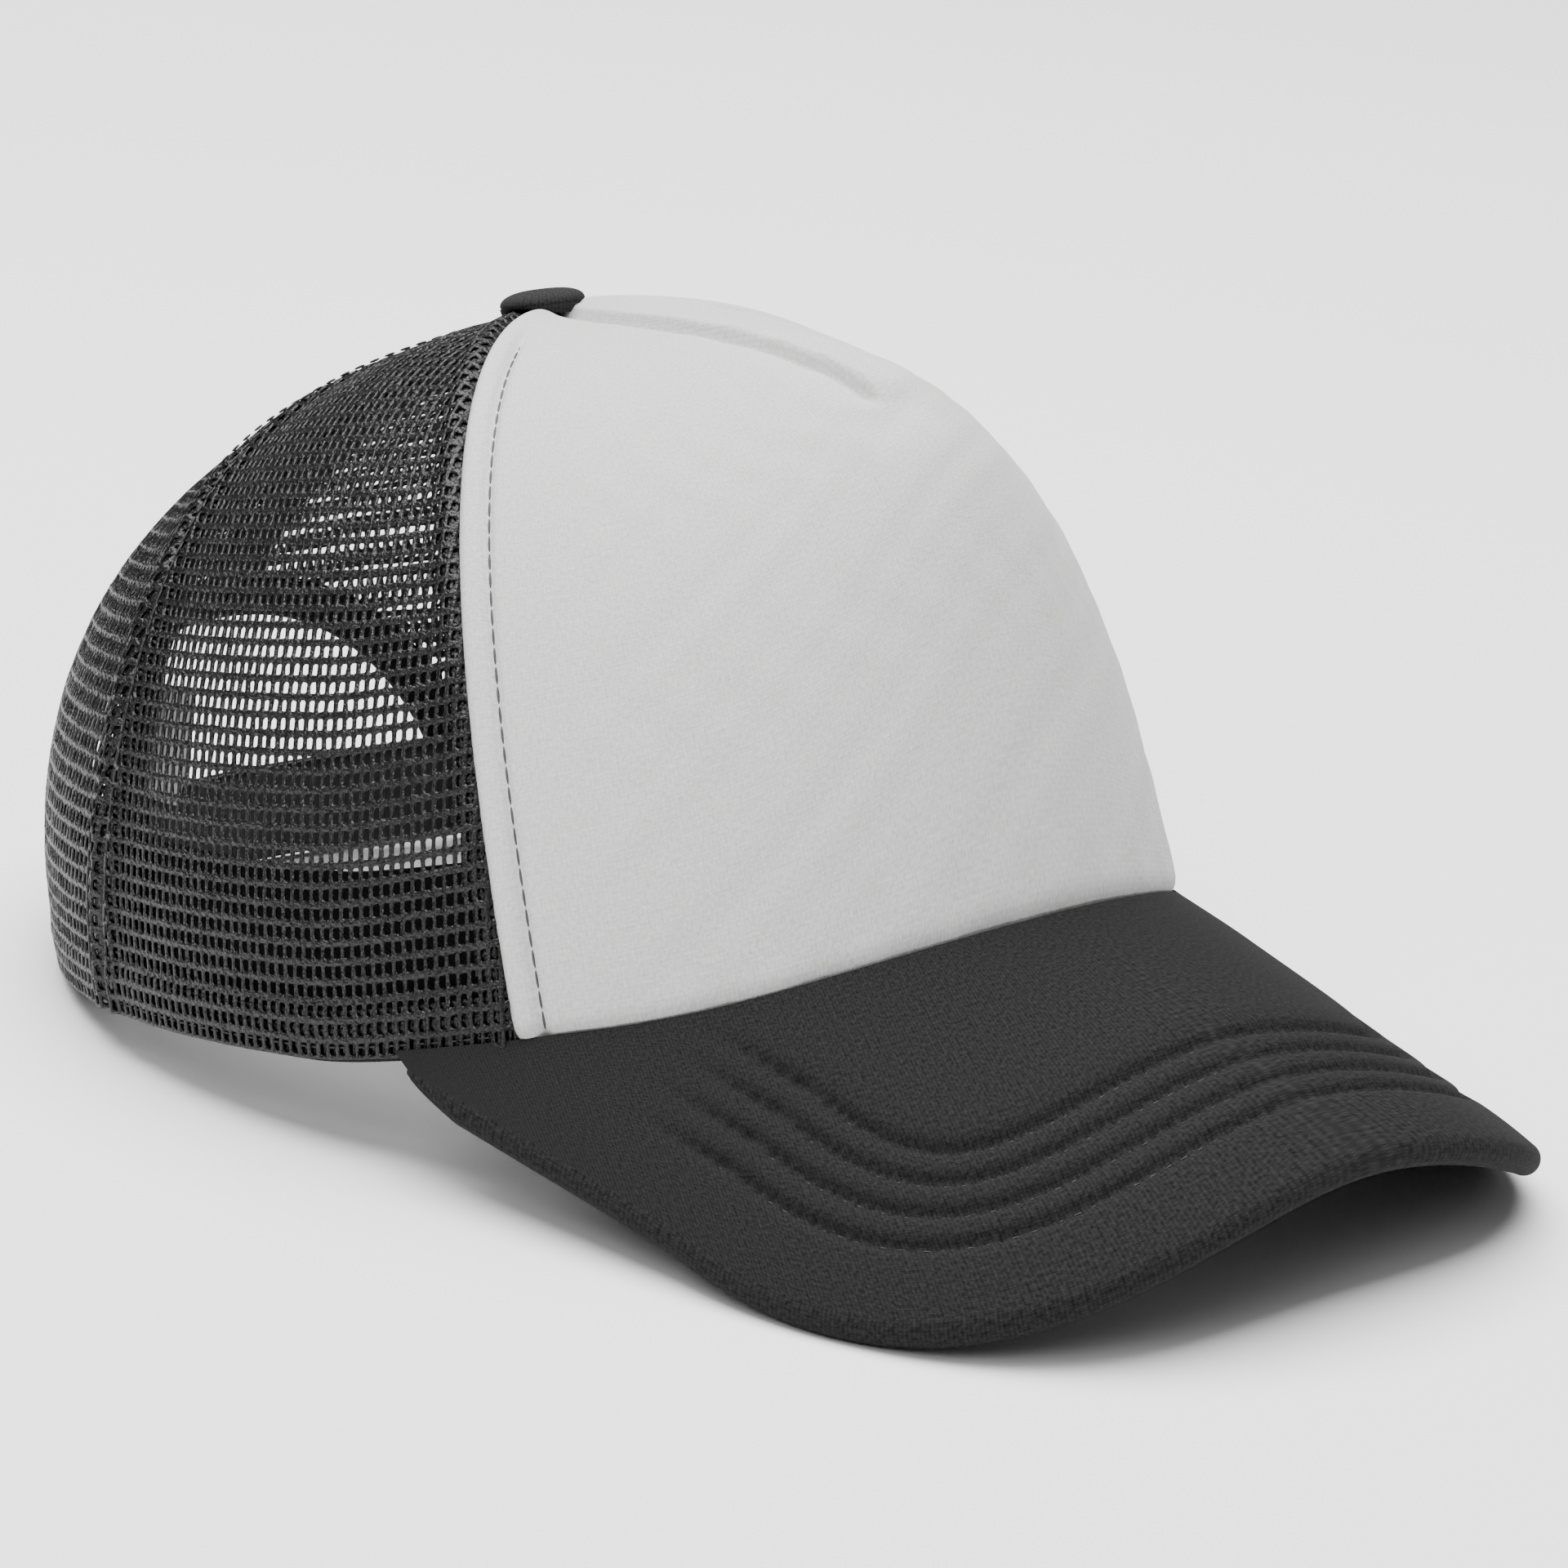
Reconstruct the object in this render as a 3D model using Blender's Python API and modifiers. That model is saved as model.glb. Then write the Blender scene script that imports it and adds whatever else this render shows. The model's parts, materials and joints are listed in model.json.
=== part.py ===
"""Trucker cap: foam front panel, mesh crown, bent brim, sweatband and two-part snap strap.

The cap is laid out in its own frame: the hem lies in Z = 0, the brim points to -Y, the wearer's left
is +X. The cap_frame empty then tips it until it rests on its brim and on the back of its hem, as it
does on a table.
"""
import math

import bmesh
import bpy
from mathutils import Matrix, Vector

# Crown: an oval hem that rises to the button.
CROWN_HALF_WIDTH = 0.0867
CROWN_HALF_LENGTH = 0.1015
CROWN_HEIGHT = 0.1067
BUTTON_SETBACK = 0.0107
CROWN_TOP_RISE = 0.985
CROWN_ROWS = 14

# Each meridian is a cubic curve. Its handles are given at the front, at the sides and at the back.
LOWER_BULGE = (-0.165, 0.033, 0.133)
LOWER_HANDLE = (0.066, 0.044, 0.058)
UPPER_REACH = (0.829, 0.692, 0.808)
UPPER_LIFT = (-0.0015, 0.0082, -0.0259)
RIDGE_WIDTH = 0.36
RIDGE_HANDLE = 0.0234
RIDGE_REACH = 0.084
RIDGE_LIFT = 0.0013

# Seams, as angles from the front centre.
FRONT_SEAM_LOW = math.radians(56.3)
FRONT_SEAM_HIGH = math.radians(70.0)
SIDE_SEAM_LOW = math.radians(108.7)
SIDE_SEAM_SWEEP = math.radians(45.0)
SEAM_GAP = 0.0012
DART_FOOT = 0.56

# Layers, as depths below the outer face of the mesh.
FOAM_PROUD = 0.0010
FOAM_THICKNESS = 0.0036
MESH_THICKNESS = 0.0010
TAPE_THICKNESS = 0.0007
TAPE_WIDTH = 0.011
LAYER_GAP = 0.0005
CURVE_ALLOWANCE = 0.0003
BUTTON_TAPE_CLEARANCE = 0.0145

# Brim: a flat outline bent about the front-to-back axis and tipped down.
BRIM_CENTRE_LIFT = 0.0186
BRIM_BEND_RADIUS = 0.0849
BRIM_TIP = math.radians(22.6)
BRIM_HALF_WIDTH = 0.0822
BRIM_WIDEST_Y = 0.0957
BRIM_REACH = 0.0727
BRIM_SIDE_POWER = 0.68
BRIM_FRONT_POWER = 0.90
BRIM_END_ANGLE = math.radians(69.0)
BRIM_END_WIDTH = 0.006
BRIM_LAYER_GAP = 0.0010
BRIM_LIP_CLEARANCE = 0.0022
BRIM_LAYER_SHRINK = 0.12
BRIM_CROWN_CLEARANCE = 0.0014
BRIM_ROLL_RADIUS = 0.003
BRIM_COVER_THICKNESS = 0.0018
BRIM_BOARD_THICKNESS = 0.0018
BRIM_UNDER_THICKNESS = 0.0012
BRIM_COLUMNS = 26
BRIM_ROWS = 6
PANEL_OVERLAP = 0.0015

# Rear opening and its binding.
ARCH_HALF_WIDTH = 0.0438
ARCH_HEIGHT = 0.0472
ARCH_POWER = 0.9
BINDING_WIDTH = 0.0068
BINDING_PROUD = 0.0006
BINDING_THICKNESS = 0.0018

# Sweatband.
SWEATBAND_HEIGHT = 0.029
SWEATBAND_THICKNESS = 0.0016
SWEATBAND_HEM_LIFT = 0.001
SWEATBAND_END_GAP = 0.0035

# Snap strap.
STRAP_WIDTH = 0.0165
STRAP_THICKNESS = 0.0013
STRAP_LIFT = 0.0030
STRAP_BEND_RADIUS = 0.090
STRAP_HINGE_INSET = 0.0060
STRAP_SETTLE = 0.0020
STRAP_ROOT_GAP = 0.0012
STRAP_LAYER_GAP = 0.0005
STRAP_ANCHOR_LENGTH = 0.013
SNAP_PITCH = 0.0096
SNAP_COUNT = 6
SNAPS_FASTENED = 5
SNAP_END = 0.0068
SNAP_STUD_RADIUS = 0.0021
SNAP_CLEARANCE = 0.0009
SNAP_PROUD = 0.0006
SNAP_SIDES = 12

# Button and its rivet.
BUTTON_RADIUS = 0.0072
BUTTON_HEIGHT = 0.0048
BUTTON_LIFT = 0.0018
BUTTON_SKIRT = 0.0014
BUTTON_RECESS_RADIUS = 0.0032
BUTTON_RECESS_DEPTH = 0.0016
RIVET_RADIUS = 0.0011
RIVET_HEAD_RADIUS = 0.0026
RIVET_HEAD_THICKNESS = 0.0008
WASHER_RADIUS = 0.0065
WASHER_THICKNESS = 0.0008
TURNED_STEPS = 24
FIT_GAP = 0.0004

# Care label, sewn into the side seam.
LABEL_HEIGHT = 0.018
LABEL_LENGTH = 0.013
LABEL_THICKNESS = 0.0006
LABEL_BOTTOM = 0.036

WHITE_FOAM = (0.86, 0.86, 0.85)
BLACK_MESH = (0.018, 0.018, 0.019)
BLACK_FABRIC = (0.022, 0.022, 0.023)
BLACK_TAPE = (0.015, 0.015, 0.015)
BLACK_PLASTIC = (0.02, 0.02, 0.02)
LABEL_WHITE = (0.75, 0.75, 0.74)
BOARD_GREY = (0.25, 0.25, 0.25)
STEEL = (0.55, 0.55, 0.56)


def clear_scene():
    for old in list(bpy.data.objects):
        bpy.data.objects.remove(old, do_unlink=True)


def make_material(name, colour, roughness, metallic=0.0):
    material = bpy.data.materials.new(name)
    material.use_nodes = True
    shader = material.node_tree.nodes["Principled BSDF"]
    shader.inputs["Base Color"].default_value = (*colour, 1.0)
    shader.inputs["Roughness"].default_value = roughness
    shader.inputs["Metallic"].default_value = metallic
    return material


def around(angle, values):
    """Blend values given at the front, the sides and the back."""
    front, side, back = values
    mean = (front + back) / 4 + side / 2
    lean = (front - back) / 2
    oval = (front + back) / 4 - side / 2
    return mean + lean * math.cos(angle) + oval * math.cos(2 * angle)


def smooth(value):
    value = min(max(value, 0.0), 1.0)
    return value * value * (3 - 2 * value)


def brim_height(x, y):
    """Height of the brim's upper face."""
    bend = x * x / (2 * BRIM_BEND_RADIUS)
    return BRIM_CENTRE_LIFT - bend + math.tan(BRIM_TIP) * (y + CROWN_HALF_LENGTH)


def brim_normal(x):
    return Vector((x / BRIM_BEND_RADIUS, -math.tan(BRIM_TIP), 1.0)).normalized()


def hem_point(angle):
    """Lower edge of the crown. In front it follows the brim."""
    x = CROWN_HALF_WIDTH * math.sin(angle)
    y = -CROWN_HALF_LENGTH * math.cos(angle)
    follow = smooth((BRIM_END_ANGLE - abs(angle)) / 0.5 + 0.35)
    return Vector((x, y, (brim_height(x, y) - PANEL_OVERLAP) * follow))


def crown_surface(angle, rise):
    hem = hem_point(angle)
    ridge = math.exp(-((angle / RIDGE_WIDTH) ** 2))
    bulge = around(angle, LOWER_BULGE)
    handle = around(angle, LOWER_HANDLE) + RIDGE_HANDLE * ridge
    reach = around(angle, UPPER_REACH) + RIDGE_REACH * ridge
    lift = around(angle, UPPER_LIFT) + RIDGE_LIFT * ridge
    fall = 1 - rise
    start, lower, upper, end = fall**3, 3 * fall**2 * rise, 3 * fall * rise**2, rise**3
    share = start + lower * (1 + bulge) + upper * reach
    height = start * hem.z + lower * (hem.z + handle)
    height += upper * (CROWN_HEIGHT + lift) + end * CROWN_HEIGHT
    y = BUTTON_SETBACK + (hem.y - BUTTON_SETBACK) * share
    return Vector((hem.x * share, y, height))


def crown_normal(angle, rise):
    step = 0.002
    rise = min(rise, 0.98)
    across = crown_surface(angle + step, rise) - crown_surface(angle - step, rise)
    up = crown_surface(angle, rise + step) - crown_surface(angle, max(rise - step, 0.0))
    return across.cross(up).normalized()


def crown_point(angle, rise, depth):
    return crown_surface(angle, rise) - crown_normal(angle, rise) * depth


def bisect(low, high, above):
    for _ in range(30):
        middle = (low + high) / 2
        if above(middle):
            high = middle
        else:
            low = middle
    return (low + high) / 2


def rise_at(angle, height):
    """The rise at which the crown passes a height above the hem's plane."""
    return bisect(0.0, 0.8, lambda rise: crown_surface(angle, rise).z > height)


def back_place(x, height):
    """Angle and rise of the point at the back of the crown with this x and height."""
    size = abs(x)

    def too_far(angle):
        return crown_surface(angle, rise_at(angle, height)).x < size

    angle = bisect(math.pi / 2, math.pi, too_far)
    return math.copysign(angle, x), rise_at(angle, height)


def hem_angle_at_back(x):
    return math.pi - math.asin(x / CROWN_HALF_WIDTH)


def front_seam(rise):
    return FRONT_SEAM_LOW + (FRONT_SEAM_HIGH - FRONT_SEAM_LOW) * rise


def side_seam(rise):
    return SIDE_SEAM_LOW + SIDE_SEAM_SWEEP * rise**3


def mesh_to_object(name, mesh, material, collection, parent):
    thing = bpy.data.objects.new(name, mesh)
    thing.data.materials.append(material)
    collection.objects.link(thing)
    thing.parent = parent
    return thing


def grid_mesh(name, columns, rows, place):
    """A grid whose vertex (u, v), each from 0 to 1, is moved to place(u, v)."""
    sheet = bmesh.new()
    bmesh.ops.create_grid(sheet, x_segments=columns, y_segments=rows, size=0.5)
    for vertex in sheet.verts:
        vertex.co = place(vertex.co.x + 0.5, vertex.co.y + 0.5)
    mesh = bpy.data.meshes.new(name)
    sheet.to_mesh(mesh)
    sheet.free()
    return mesh


def thicken(thing, thickness, even=False):
    """Give an open sheet its thickness, inwards from its outer face."""
    solid = thing.modifiers.new("thickness", "SOLIDIFY")
    solid.thickness = thickness
    solid.offset = -1
    solid.use_even_offset = even
    return solid


def crown_panel(name, low_edge, high_edge, columns, depth, thickness, material, cap):
    """A crown piece between two seams, each a function from rise to angle."""

    def place(u, v):
        rise = v * CROWN_TOP_RISE
        first = low_edge(rise)
        last = high_edge(rise)
        radius = max(crown_surface(last, rise).xy.length, 0.003)
        trim = min(SEAM_GAP / 2 / radius, abs(last - first) / 8)
        angle = first + trim + (last - first - 2 * trim) * u
        return crown_point(angle, rise, depth)

    mesh = grid_mesh(name, columns, CROWN_ROWS, place)
    panel = mesh_to_object(name, mesh, material, *cap)
    thicken(panel, thickness)
    return panel


def front_panel(cap):
    white = make_material("white_foam_fabric", WHITE_FOAM, 0.9)
    crown_panel(
        "front_panel",
        lambda rise: -front_seam(rise),
        front_seam,
        22,
        -FOAM_PROUD,
        FOAM_THICKNESS,
        white,
        cap,
    )


def mesh_panels(cap, arch_cutter):
    black = make_material("black_mesh", BLACK_MESH, 0.6)
    for side, sign in (("right", -1), ("left", 1)):
        edges = {
            "mesh_side_": (front_seam, side_seam, 9),
            "mesh_back_": (side_seam, lambda rise: math.pi, 12),
        }
        for stem, (near, far, columns) in edges.items():
            first, last = (near, far) if sign > 0 else (
                lambda rise, far=far: -far(rise),
                lambda rise, near=near: -near(rise),
            )
            panel = crown_panel(
                stem + side, first, last, columns, 0.0, MESH_THICKNESS, black, cap
            )
            if stem == "mesh_back_":
                cut(panel, arch_cutter)


def cut(thing, cutter):
    hole = thing.modifiers.new("cut_" + cutter.name, "BOOLEAN")
    hole.operation = "DIFFERENCE"
    hole.solver = "EXACT"
    hole.object = cutter


def arch_point(turn, widen):
    """Outline of the rear opening, from one foot (turn 0) over the top to the other (turn pi)."""
    across = abs(math.cos(turn)) ** ARCH_POWER
    x = math.copysign((ARCH_HALF_WIDTH + widen) * across, math.cos(turn))
    return x, (ARCH_HEIGHT + widen) * math.sin(turn) ** ARCH_POWER


def make_arch_cutter(cutters, frame):
    """A plug through the back of the crown, as wide as the opening with its binding."""
    steps = 32
    widen = BINDING_WIDTH + LAYER_GAP
    outline = [arch_point(math.pi * step / steps, widen) for step in range(steps + 1)]
    plug = bmesh.new()
    near = CROWN_HALF_LENGTH * 0.35
    foot = -0.02
    points = [(outline[0][0], foot), *outline, (outline[-1][0], foot)]
    ring = [plug.verts.new((x, near, z)) for x, z in points]
    face = plug.faces.new(ring)
    grown = bmesh.ops.extrude_face_region(plug, geom=[face])
    moved = [part for part in grown["geom"] if isinstance(part, bmesh.types.BMVert)]
    bmesh.ops.translate(plug, verts=moved, vec=(0, CROWN_HALF_LENGTH, 0))
    bmesh.ops.recalc_face_normals(plug, faces=plug.faces)
    mesh = bpy.data.meshes.new("arch_cutter")
    plug.to_mesh(mesh)
    plug.free()
    cutter = bpy.data.objects.new("arch_cutter", mesh)
    cutters.objects.link(cutter)
    cutter.parent = frame
    cutter.hide_render = True
    cutter.display_type = "WIRE"
    return cutter


def arch_binding(cap):
    """The folded tape round the rear opening."""
    tape = make_material("black_binding", BLACK_TAPE, 0.85)
    foot_turn = 0.04

    def place(u, v):
        turn = foot_turn + (math.pi - 2 * foot_turn) * u
        x, height = arch_point(turn, BINDING_WIDTH * v)
        angle, rise = back_place(x if abs(x) > 1e-5 else 1e-5, max(height, 0.0005))
        return crown_point(angle, rise, -BINDING_PROUD)

    mesh = grid_mesh("arch_binding", 36, 2, place)
    binding = mesh_to_object("arch_binding", mesh, tape, *cap)
    thicken(binding, BINDING_THICKNESS)


def tape_strip(name, seam, depth, low_rise, stop, cap, material):
    """A woven tape that covers a seam on the inside and stops short of the button."""

    def top_rise():
        def close(rise):
            place = crown_surface(seam(rise), rise)
            return math.hypot(place.x, place.y - BUTTON_SETBACK) < stop

        return bisect(0.3, 1.0, close)

    high_rise = top_rise()

    def place(u, v):
        rise = low_rise + (high_rise - low_rise) * v
        middle = seam(rise)
        point = crown_surface(middle, rise)
        radius = math.hypot(point.x, point.y - BUTTON_SETBACK)
        angle = middle + (u - 0.5) * TAPE_WIDTH / max(radius, BUTTON_TAPE_CLEARANCE)
        return crown_point(angle, rise, depth)

    mesh = grid_mesh(name, 3, CROWN_ROWS, place)
    strip = mesh_to_object(name, mesh, material, *cap)
    thicken(strip, TAPE_THICKNESS)


def seam_tapes(cap):
    tape = make_material("black_seam_tape", BLACK_TAPE, 0.85)
    foam_back = FOAM_THICKNESS - FOAM_PROUD + LAYER_GAP + CURVE_ALLOWANCE
    mesh_back = MESH_THICKNESS + LAYER_GAP + CURVE_ALLOWANCE
    side_stop = TAPE_WIDTH * 1.1 / (math.pi - SIDE_SEAM_LOW - SIDE_SEAM_SWEEP)
    hem_clear = 0.02
    for side, sign in (("right", -1), ("left", 1)):
        tape_strip(
            "seam_tape_front_" + side,
            lambda rise, sign=sign: sign * front_seam(rise),
            foam_back,
            hem_clear,
            BUTTON_TAPE_CLEARANCE,
            cap,
            tape,
        )
        tape_strip(
            "seam_tape_side_" + side,
            lambda rise, sign=sign: sign * side_seam(rise),
            mesh_back,
            hem_clear,
            side_stop,
            cap,
            tape,
        )
    arch_top = rise_at(math.pi, ARCH_HEIGHT + BINDING_WIDTH + LAYER_GAP * 3)
    stop = BUTTON_TAPE_CLEARANCE
    tape_strip("seam_tape_back", lambda rise: math.pi, mesh_back, arch_top, stop, cap, tape)
    tape_strip("front_dart_tape", lambda rise: 0.0, foam_back, DART_FOOT, stop, cap, tape)


def sweatband_depth():
    tape_face = FOAM_THICKNESS - FOAM_PROUD + LAYER_GAP + CURVE_ALLOWANCE + TAPE_THICKNESS
    strap_face = strap_depth(False) + STRAP_THICKNESS
    return max(tape_face, strap_face) + LAYER_GAP + CURVE_ALLOWANCE


def sweatband(cap):
    """The folded fabric band that lines the hem, open at the back where the strap is."""
    fabric = make_material("black_sweatband", BLACK_FABRIC, 0.9)
    end = hem_angle_at_back(ARCH_HALF_WIDTH + SWEATBAND_END_GAP)

    def place(u, v):
        angle = -end + 2 * end * u
        height = hem_point(angle).z + SWEATBAND_HEM_LIFT + SWEATBAND_HEIGHT * v
        return crown_point(angle, rise_at(angle, height), sweatband_depth())

    mesh = grid_mesh("sweatband", 44, 3, place)
    band = mesh_to_object("sweatband", mesh, fabric, *cap)
    thicken(band, SWEATBAND_THICKNESS)


def brim_outline(across):
    """Outer edge of the brim in plan, for across from -1 (wearer's right) to 1."""
    inner = brim_inner(across)
    side = 0.3
    reach = 1 - side
    if abs(across) > reach:
        share = (abs(across) - reach) / side
        end = brim_inner(math.copysign(1.0, across))
        outward = math.copysign(BRIM_END_WIDTH * 0.7, across)
        end = end + Vector((outward, -BRIM_END_WIDTH))
        widest = Vector((math.copysign(BRIM_HALF_WIDTH, across), -BRIM_WIDEST_Y))
        return widest.lerp(end, share)
    turn = across / reach * math.pi / 2
    x = math.copysign(abs(math.sin(turn)) ** BRIM_SIDE_POWER, across) * BRIM_HALF_WIDTH
    y = -BRIM_WIDEST_Y - BRIM_REACH * max(math.cos(turn), 0.0) ** BRIM_FRONT_POWER
    return Vector((x, y if inner.y > y else inner.y))


def brim_inner(across):
    """Inner edge of the brim in plan. It stands clear of the crown's outer face."""
    angle = across * BRIM_END_ANGLE
    hem = hem_point(angle)
    rise = rise_at(angle, brim_height(hem.x, hem.y))
    point = crown_point(angle, rise, -(FOAM_PROUD + BRIM_CROWN_CLEARANCE))
    return Vector((point.x, point.y))


def brim_edge_inward(across):
    step = 0.01
    along = brim_outline(min(across + step, 1.0)) - brim_outline(max(across - step, -1.0))
    return Vector((-along.y, along.x)).normalized()


def brim_surface(across, out, inset, depth):
    """A point of the brim from its inner edge (out 0) to its rim (out 1), below its upper face."""
    rim = brim_outline(across) + brim_edge_inward(across) * inset
    inner = brim_inner(across)
    plan = inner.lerp(rim, out)
    plan = plan + brim_normal(plan.x).xy * depth * (1 - out)
    face = Vector((plan.x, plan.y, brim_height(plan.x, plan.y)))
    return face - brim_normal(plan.x) * depth


def brim_layer(name, inset, depth, thickness, material, cap):
    """A plain plate of the brim."""

    def place(u, v):
        across = (2 * u - 1) * (1 - BRIM_LAYER_SHRINK)
        return brim_surface(across, 1 - v, inset, depth)

    mesh = grid_mesh(name, BRIM_COLUMNS, BRIM_ROWS, place)
    plate = mesh_to_object(name, mesh, material, *cap)
    thicken(plate, thickness)


def brim_roll(across, turn):
    """A point on the half-round rim, from the upper face (turn 0) to the lower face (turn pi)."""
    rim = brim_surface(across, 1.0, BRIM_ROLL_RADIUS, 0.0)
    further = brim_surface(across, 1.0, BRIM_ROLL_RADIUS * 0.9, 0.0)
    outward = (further - rim).normalized()
    down = brim_normal(rim.x) * (1 - math.cos(turn))
    return rim + (outward * math.sin(turn) - down) * BRIM_ROLL_RADIUS


def brim_top_cover(cap):
    """The upper cover, which rolls over the rim and turns under it."""
    fabric = make_material("black_brim_fabric", BLACK_FABRIC, 0.9)
    roll_rows = 4
    rows = BRIM_ROWS + roll_rows

    def place(u, v):
        across = 2 * u - 1
        row = round((1 - v) * rows)
        if row <= BRIM_ROWS:
            return brim_surface(across, row / BRIM_ROWS, BRIM_ROLL_RADIUS, 0.0)
        return brim_roll(across, math.pi * (row - BRIM_ROWS) / roll_rows)

    mesh = grid_mesh("brim_top_cover", BRIM_COLUMNS, rows, place)
    cover = mesh_to_object("brim_top_cover", mesh, fabric, *cap)
    thicken(cover, BRIM_COVER_THICKNESS)


def brim(cap):
    board = make_material("brim_board_plastic", BOARD_GREY, 0.6)
    lining = make_material("black_brim_lining", BLACK_FABRIC, 0.9)
    inset = BRIM_ROLL_RADIUS + BRIM_LIP_CLEARANCE
    board_depth = BRIM_COVER_THICKNESS + BRIM_LAYER_GAP
    under_depth = board_depth + BRIM_BOARD_THICKNESS + BRIM_LAYER_GAP
    brim_top_cover(cap)
    brim_layer("brim_board", inset, board_depth, BRIM_BOARD_THICKNESS, board, cap)
    brim_layer("brim_under_cover", inset, under_depth, BRIM_UNDER_THICKNESS, lining, cap)


def strap_depth(outer):
    first = MESH_THICKNESS + LAYER_GAP + CURVE_ALLOWANCE
    return first if outer else first + STRAP_THICKNESS + STRAP_LAYER_GAP


def strap_arc():
    """Half the angle that the straps span, and the centre that both their arcs share."""
    angle = hem_angle_at_back(ARCH_HALF_WIDTH - STRAP_HINGE_INSET)
    root = crown_point(angle, 0.0, strap_depth(True) + STRAP_THICKNESS / 2)
    lean = math.asin(root.x / STRAP_BEND_RADIUS)
    return lean, root.y - STRAP_BEND_RADIUS * math.cos(lean)


def strap_radius(outer):
    return STRAP_BEND_RADIUS if outer else STRAP_BEND_RADIUS - STRAP_THICKNESS - STRAP_LAYER_GAP


def strap_place(sign, outer, along, height, depth):
    """A point on the free strap: along its arc from the hinge, at a height and a depth in it."""
    lean, centre_y = strap_arc()
    turn = lean - along / strap_radius(outer)
    radius = strap_radius(outer) + STRAP_THICKNESS / 2 - depth
    x = sign * radius * math.sin(turn)
    return Vector((x, centre_y + radius * math.cos(turn), STRAP_LIFT + height))


def strap_hinge(sign, outer):
    """The middle of the line about which a strap bends, just inside the opening's foot."""
    return strap_place(sign, outer, 0.0, STRAP_WIDTH / 2, STRAP_THICKNESS / 2)


def strap_blank(name, sign, outer, material, cap):
    """A strip of moulded plastic with a rounded tip. Its origin is on its hinge."""
    hinge = strap_hinge(sign, outer)
    length = snap_positions(outer)[0] + SNAP_END
    columns = 28

    def place(u, v):
        along = STRAP_ROOT_GAP + (length - STRAP_ROOT_GAP) * u
        past = max(along - (length - STRAP_WIDTH / 2), 0.0)
        half = math.sqrt(max((STRAP_WIDTH / 2) ** 2 - past**2, 0.003**2))
        side = v if sign < 0 else 1 - v
        height = STRAP_WIDTH / 2 + (2 * side - 1) * half
        return strap_place(sign, outer, along, height, 0.0) - hinge

    mesh = grid_mesh(name, columns, 2, place)
    strap = mesh_to_object(name, mesh, material, *cap)
    strap.location = hinge
    thicken(strap, STRAP_THICKNESS)
    return strap


def snap_pin(sign, outer, along, radius, low, high):
    """A short cylinder across a strap, from depth low to depth high in it."""
    top = strap_place(sign, outer, along, STRAP_WIDTH / 2, low)
    bottom = strap_place(sign, outer, along, STRAP_WIDTH / 2, high)
    axis = top - bottom
    turn = Vector((0, 0, 1)).rotation_difference(axis.normalized()).to_matrix().to_4x4()
    pin = bmesh.new()
    bmesh.ops.create_cone(
        pin,
        cap_ends=True,
        segments=SNAP_SIDES,
        radius1=radius,
        radius2=radius,
        depth=axis.length,
        matrix=Matrix.Translation((top + bottom) / 2) @ turn,
    )
    mesh = bpy.data.meshes.new("pin")
    pin.to_mesh(mesh)
    pin.free()
    return mesh


def change_strap(strap, pins, operation, cutters, frame):
    """Add the pins to the strap, or cut them away."""
    merged = bmesh.new()
    for pin in pins:
        merged.from_mesh(pin)
    mesh = bpy.data.meshes.new(strap.name + "_snaps")
    merged.to_mesh(mesh)
    merged.free()
    group = bpy.data.objects.new(mesh.name, mesh)
    cutters.objects.link(group)
    group.parent = frame
    group.hide_render = True
    group.display_type = "WIRE"
    change = strap.modifiers.new("snaps", "BOOLEAN")
    change.operation = operation
    change.solver = "EXACT"
    change.object = group


def snap_positions(outer):
    """Distances of the studs or holes along a strap, from its tip back towards its hinge.

    The straps meet in the middle of the span with SNAPS_FASTENED of their snaps over each other.
    """
    radius = strap_radius(outer)
    pitch = SNAP_PITCH * radius / STRAP_BEND_RADIUS
    tip = strap_arc()[0] * radius + pitch * (SNAPS_FASTENED - 1) / 2
    return [tip - pitch * index for index in range(SNAP_COUNT)]


def straps(cap, cutters):
    """Two strips that overlap in the middle. Each stud stands in the hole laid over it."""
    plastic = make_material("black_strap_plastic", BLACK_PLASTIC, 0.35)
    frame = cap[1]
    hole_strap = strap_blank("hole_strap", -1, True, plastic, cap)
    stud_strap = strap_blank("stud_strap", 1, False, plastic, cap)
    stud_top = -(STRAP_LAYER_GAP + STRAP_THICKNESS + SNAP_PROUD)
    stud_foot = STRAP_THICKNESS / 2
    studs = [
        snap_pin(1, False, along, SNAP_STUD_RADIUS, stud_top, stud_foot)
        for along in snap_positions(False)
    ]
    hole_radius = SNAP_STUD_RADIUS + SNAP_CLEARANCE
    holes = [
        snap_pin(-1, True, along, hole_radius, -STRAP_THICKNESS, STRAP_THICKNESS * 2)
        for along in snap_positions(True)
    ]
    change_strap(stud_strap, studs, "UNION", cutters, frame)
    change_strap(hole_strap, holes, "DIFFERENCE", cutters, frame)
    strap_anchor("hole_strap_anchor", -1, True, plastic, cap)
    strap_anchor("stud_strap_anchor", 1, False, plastic, cap)


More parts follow.
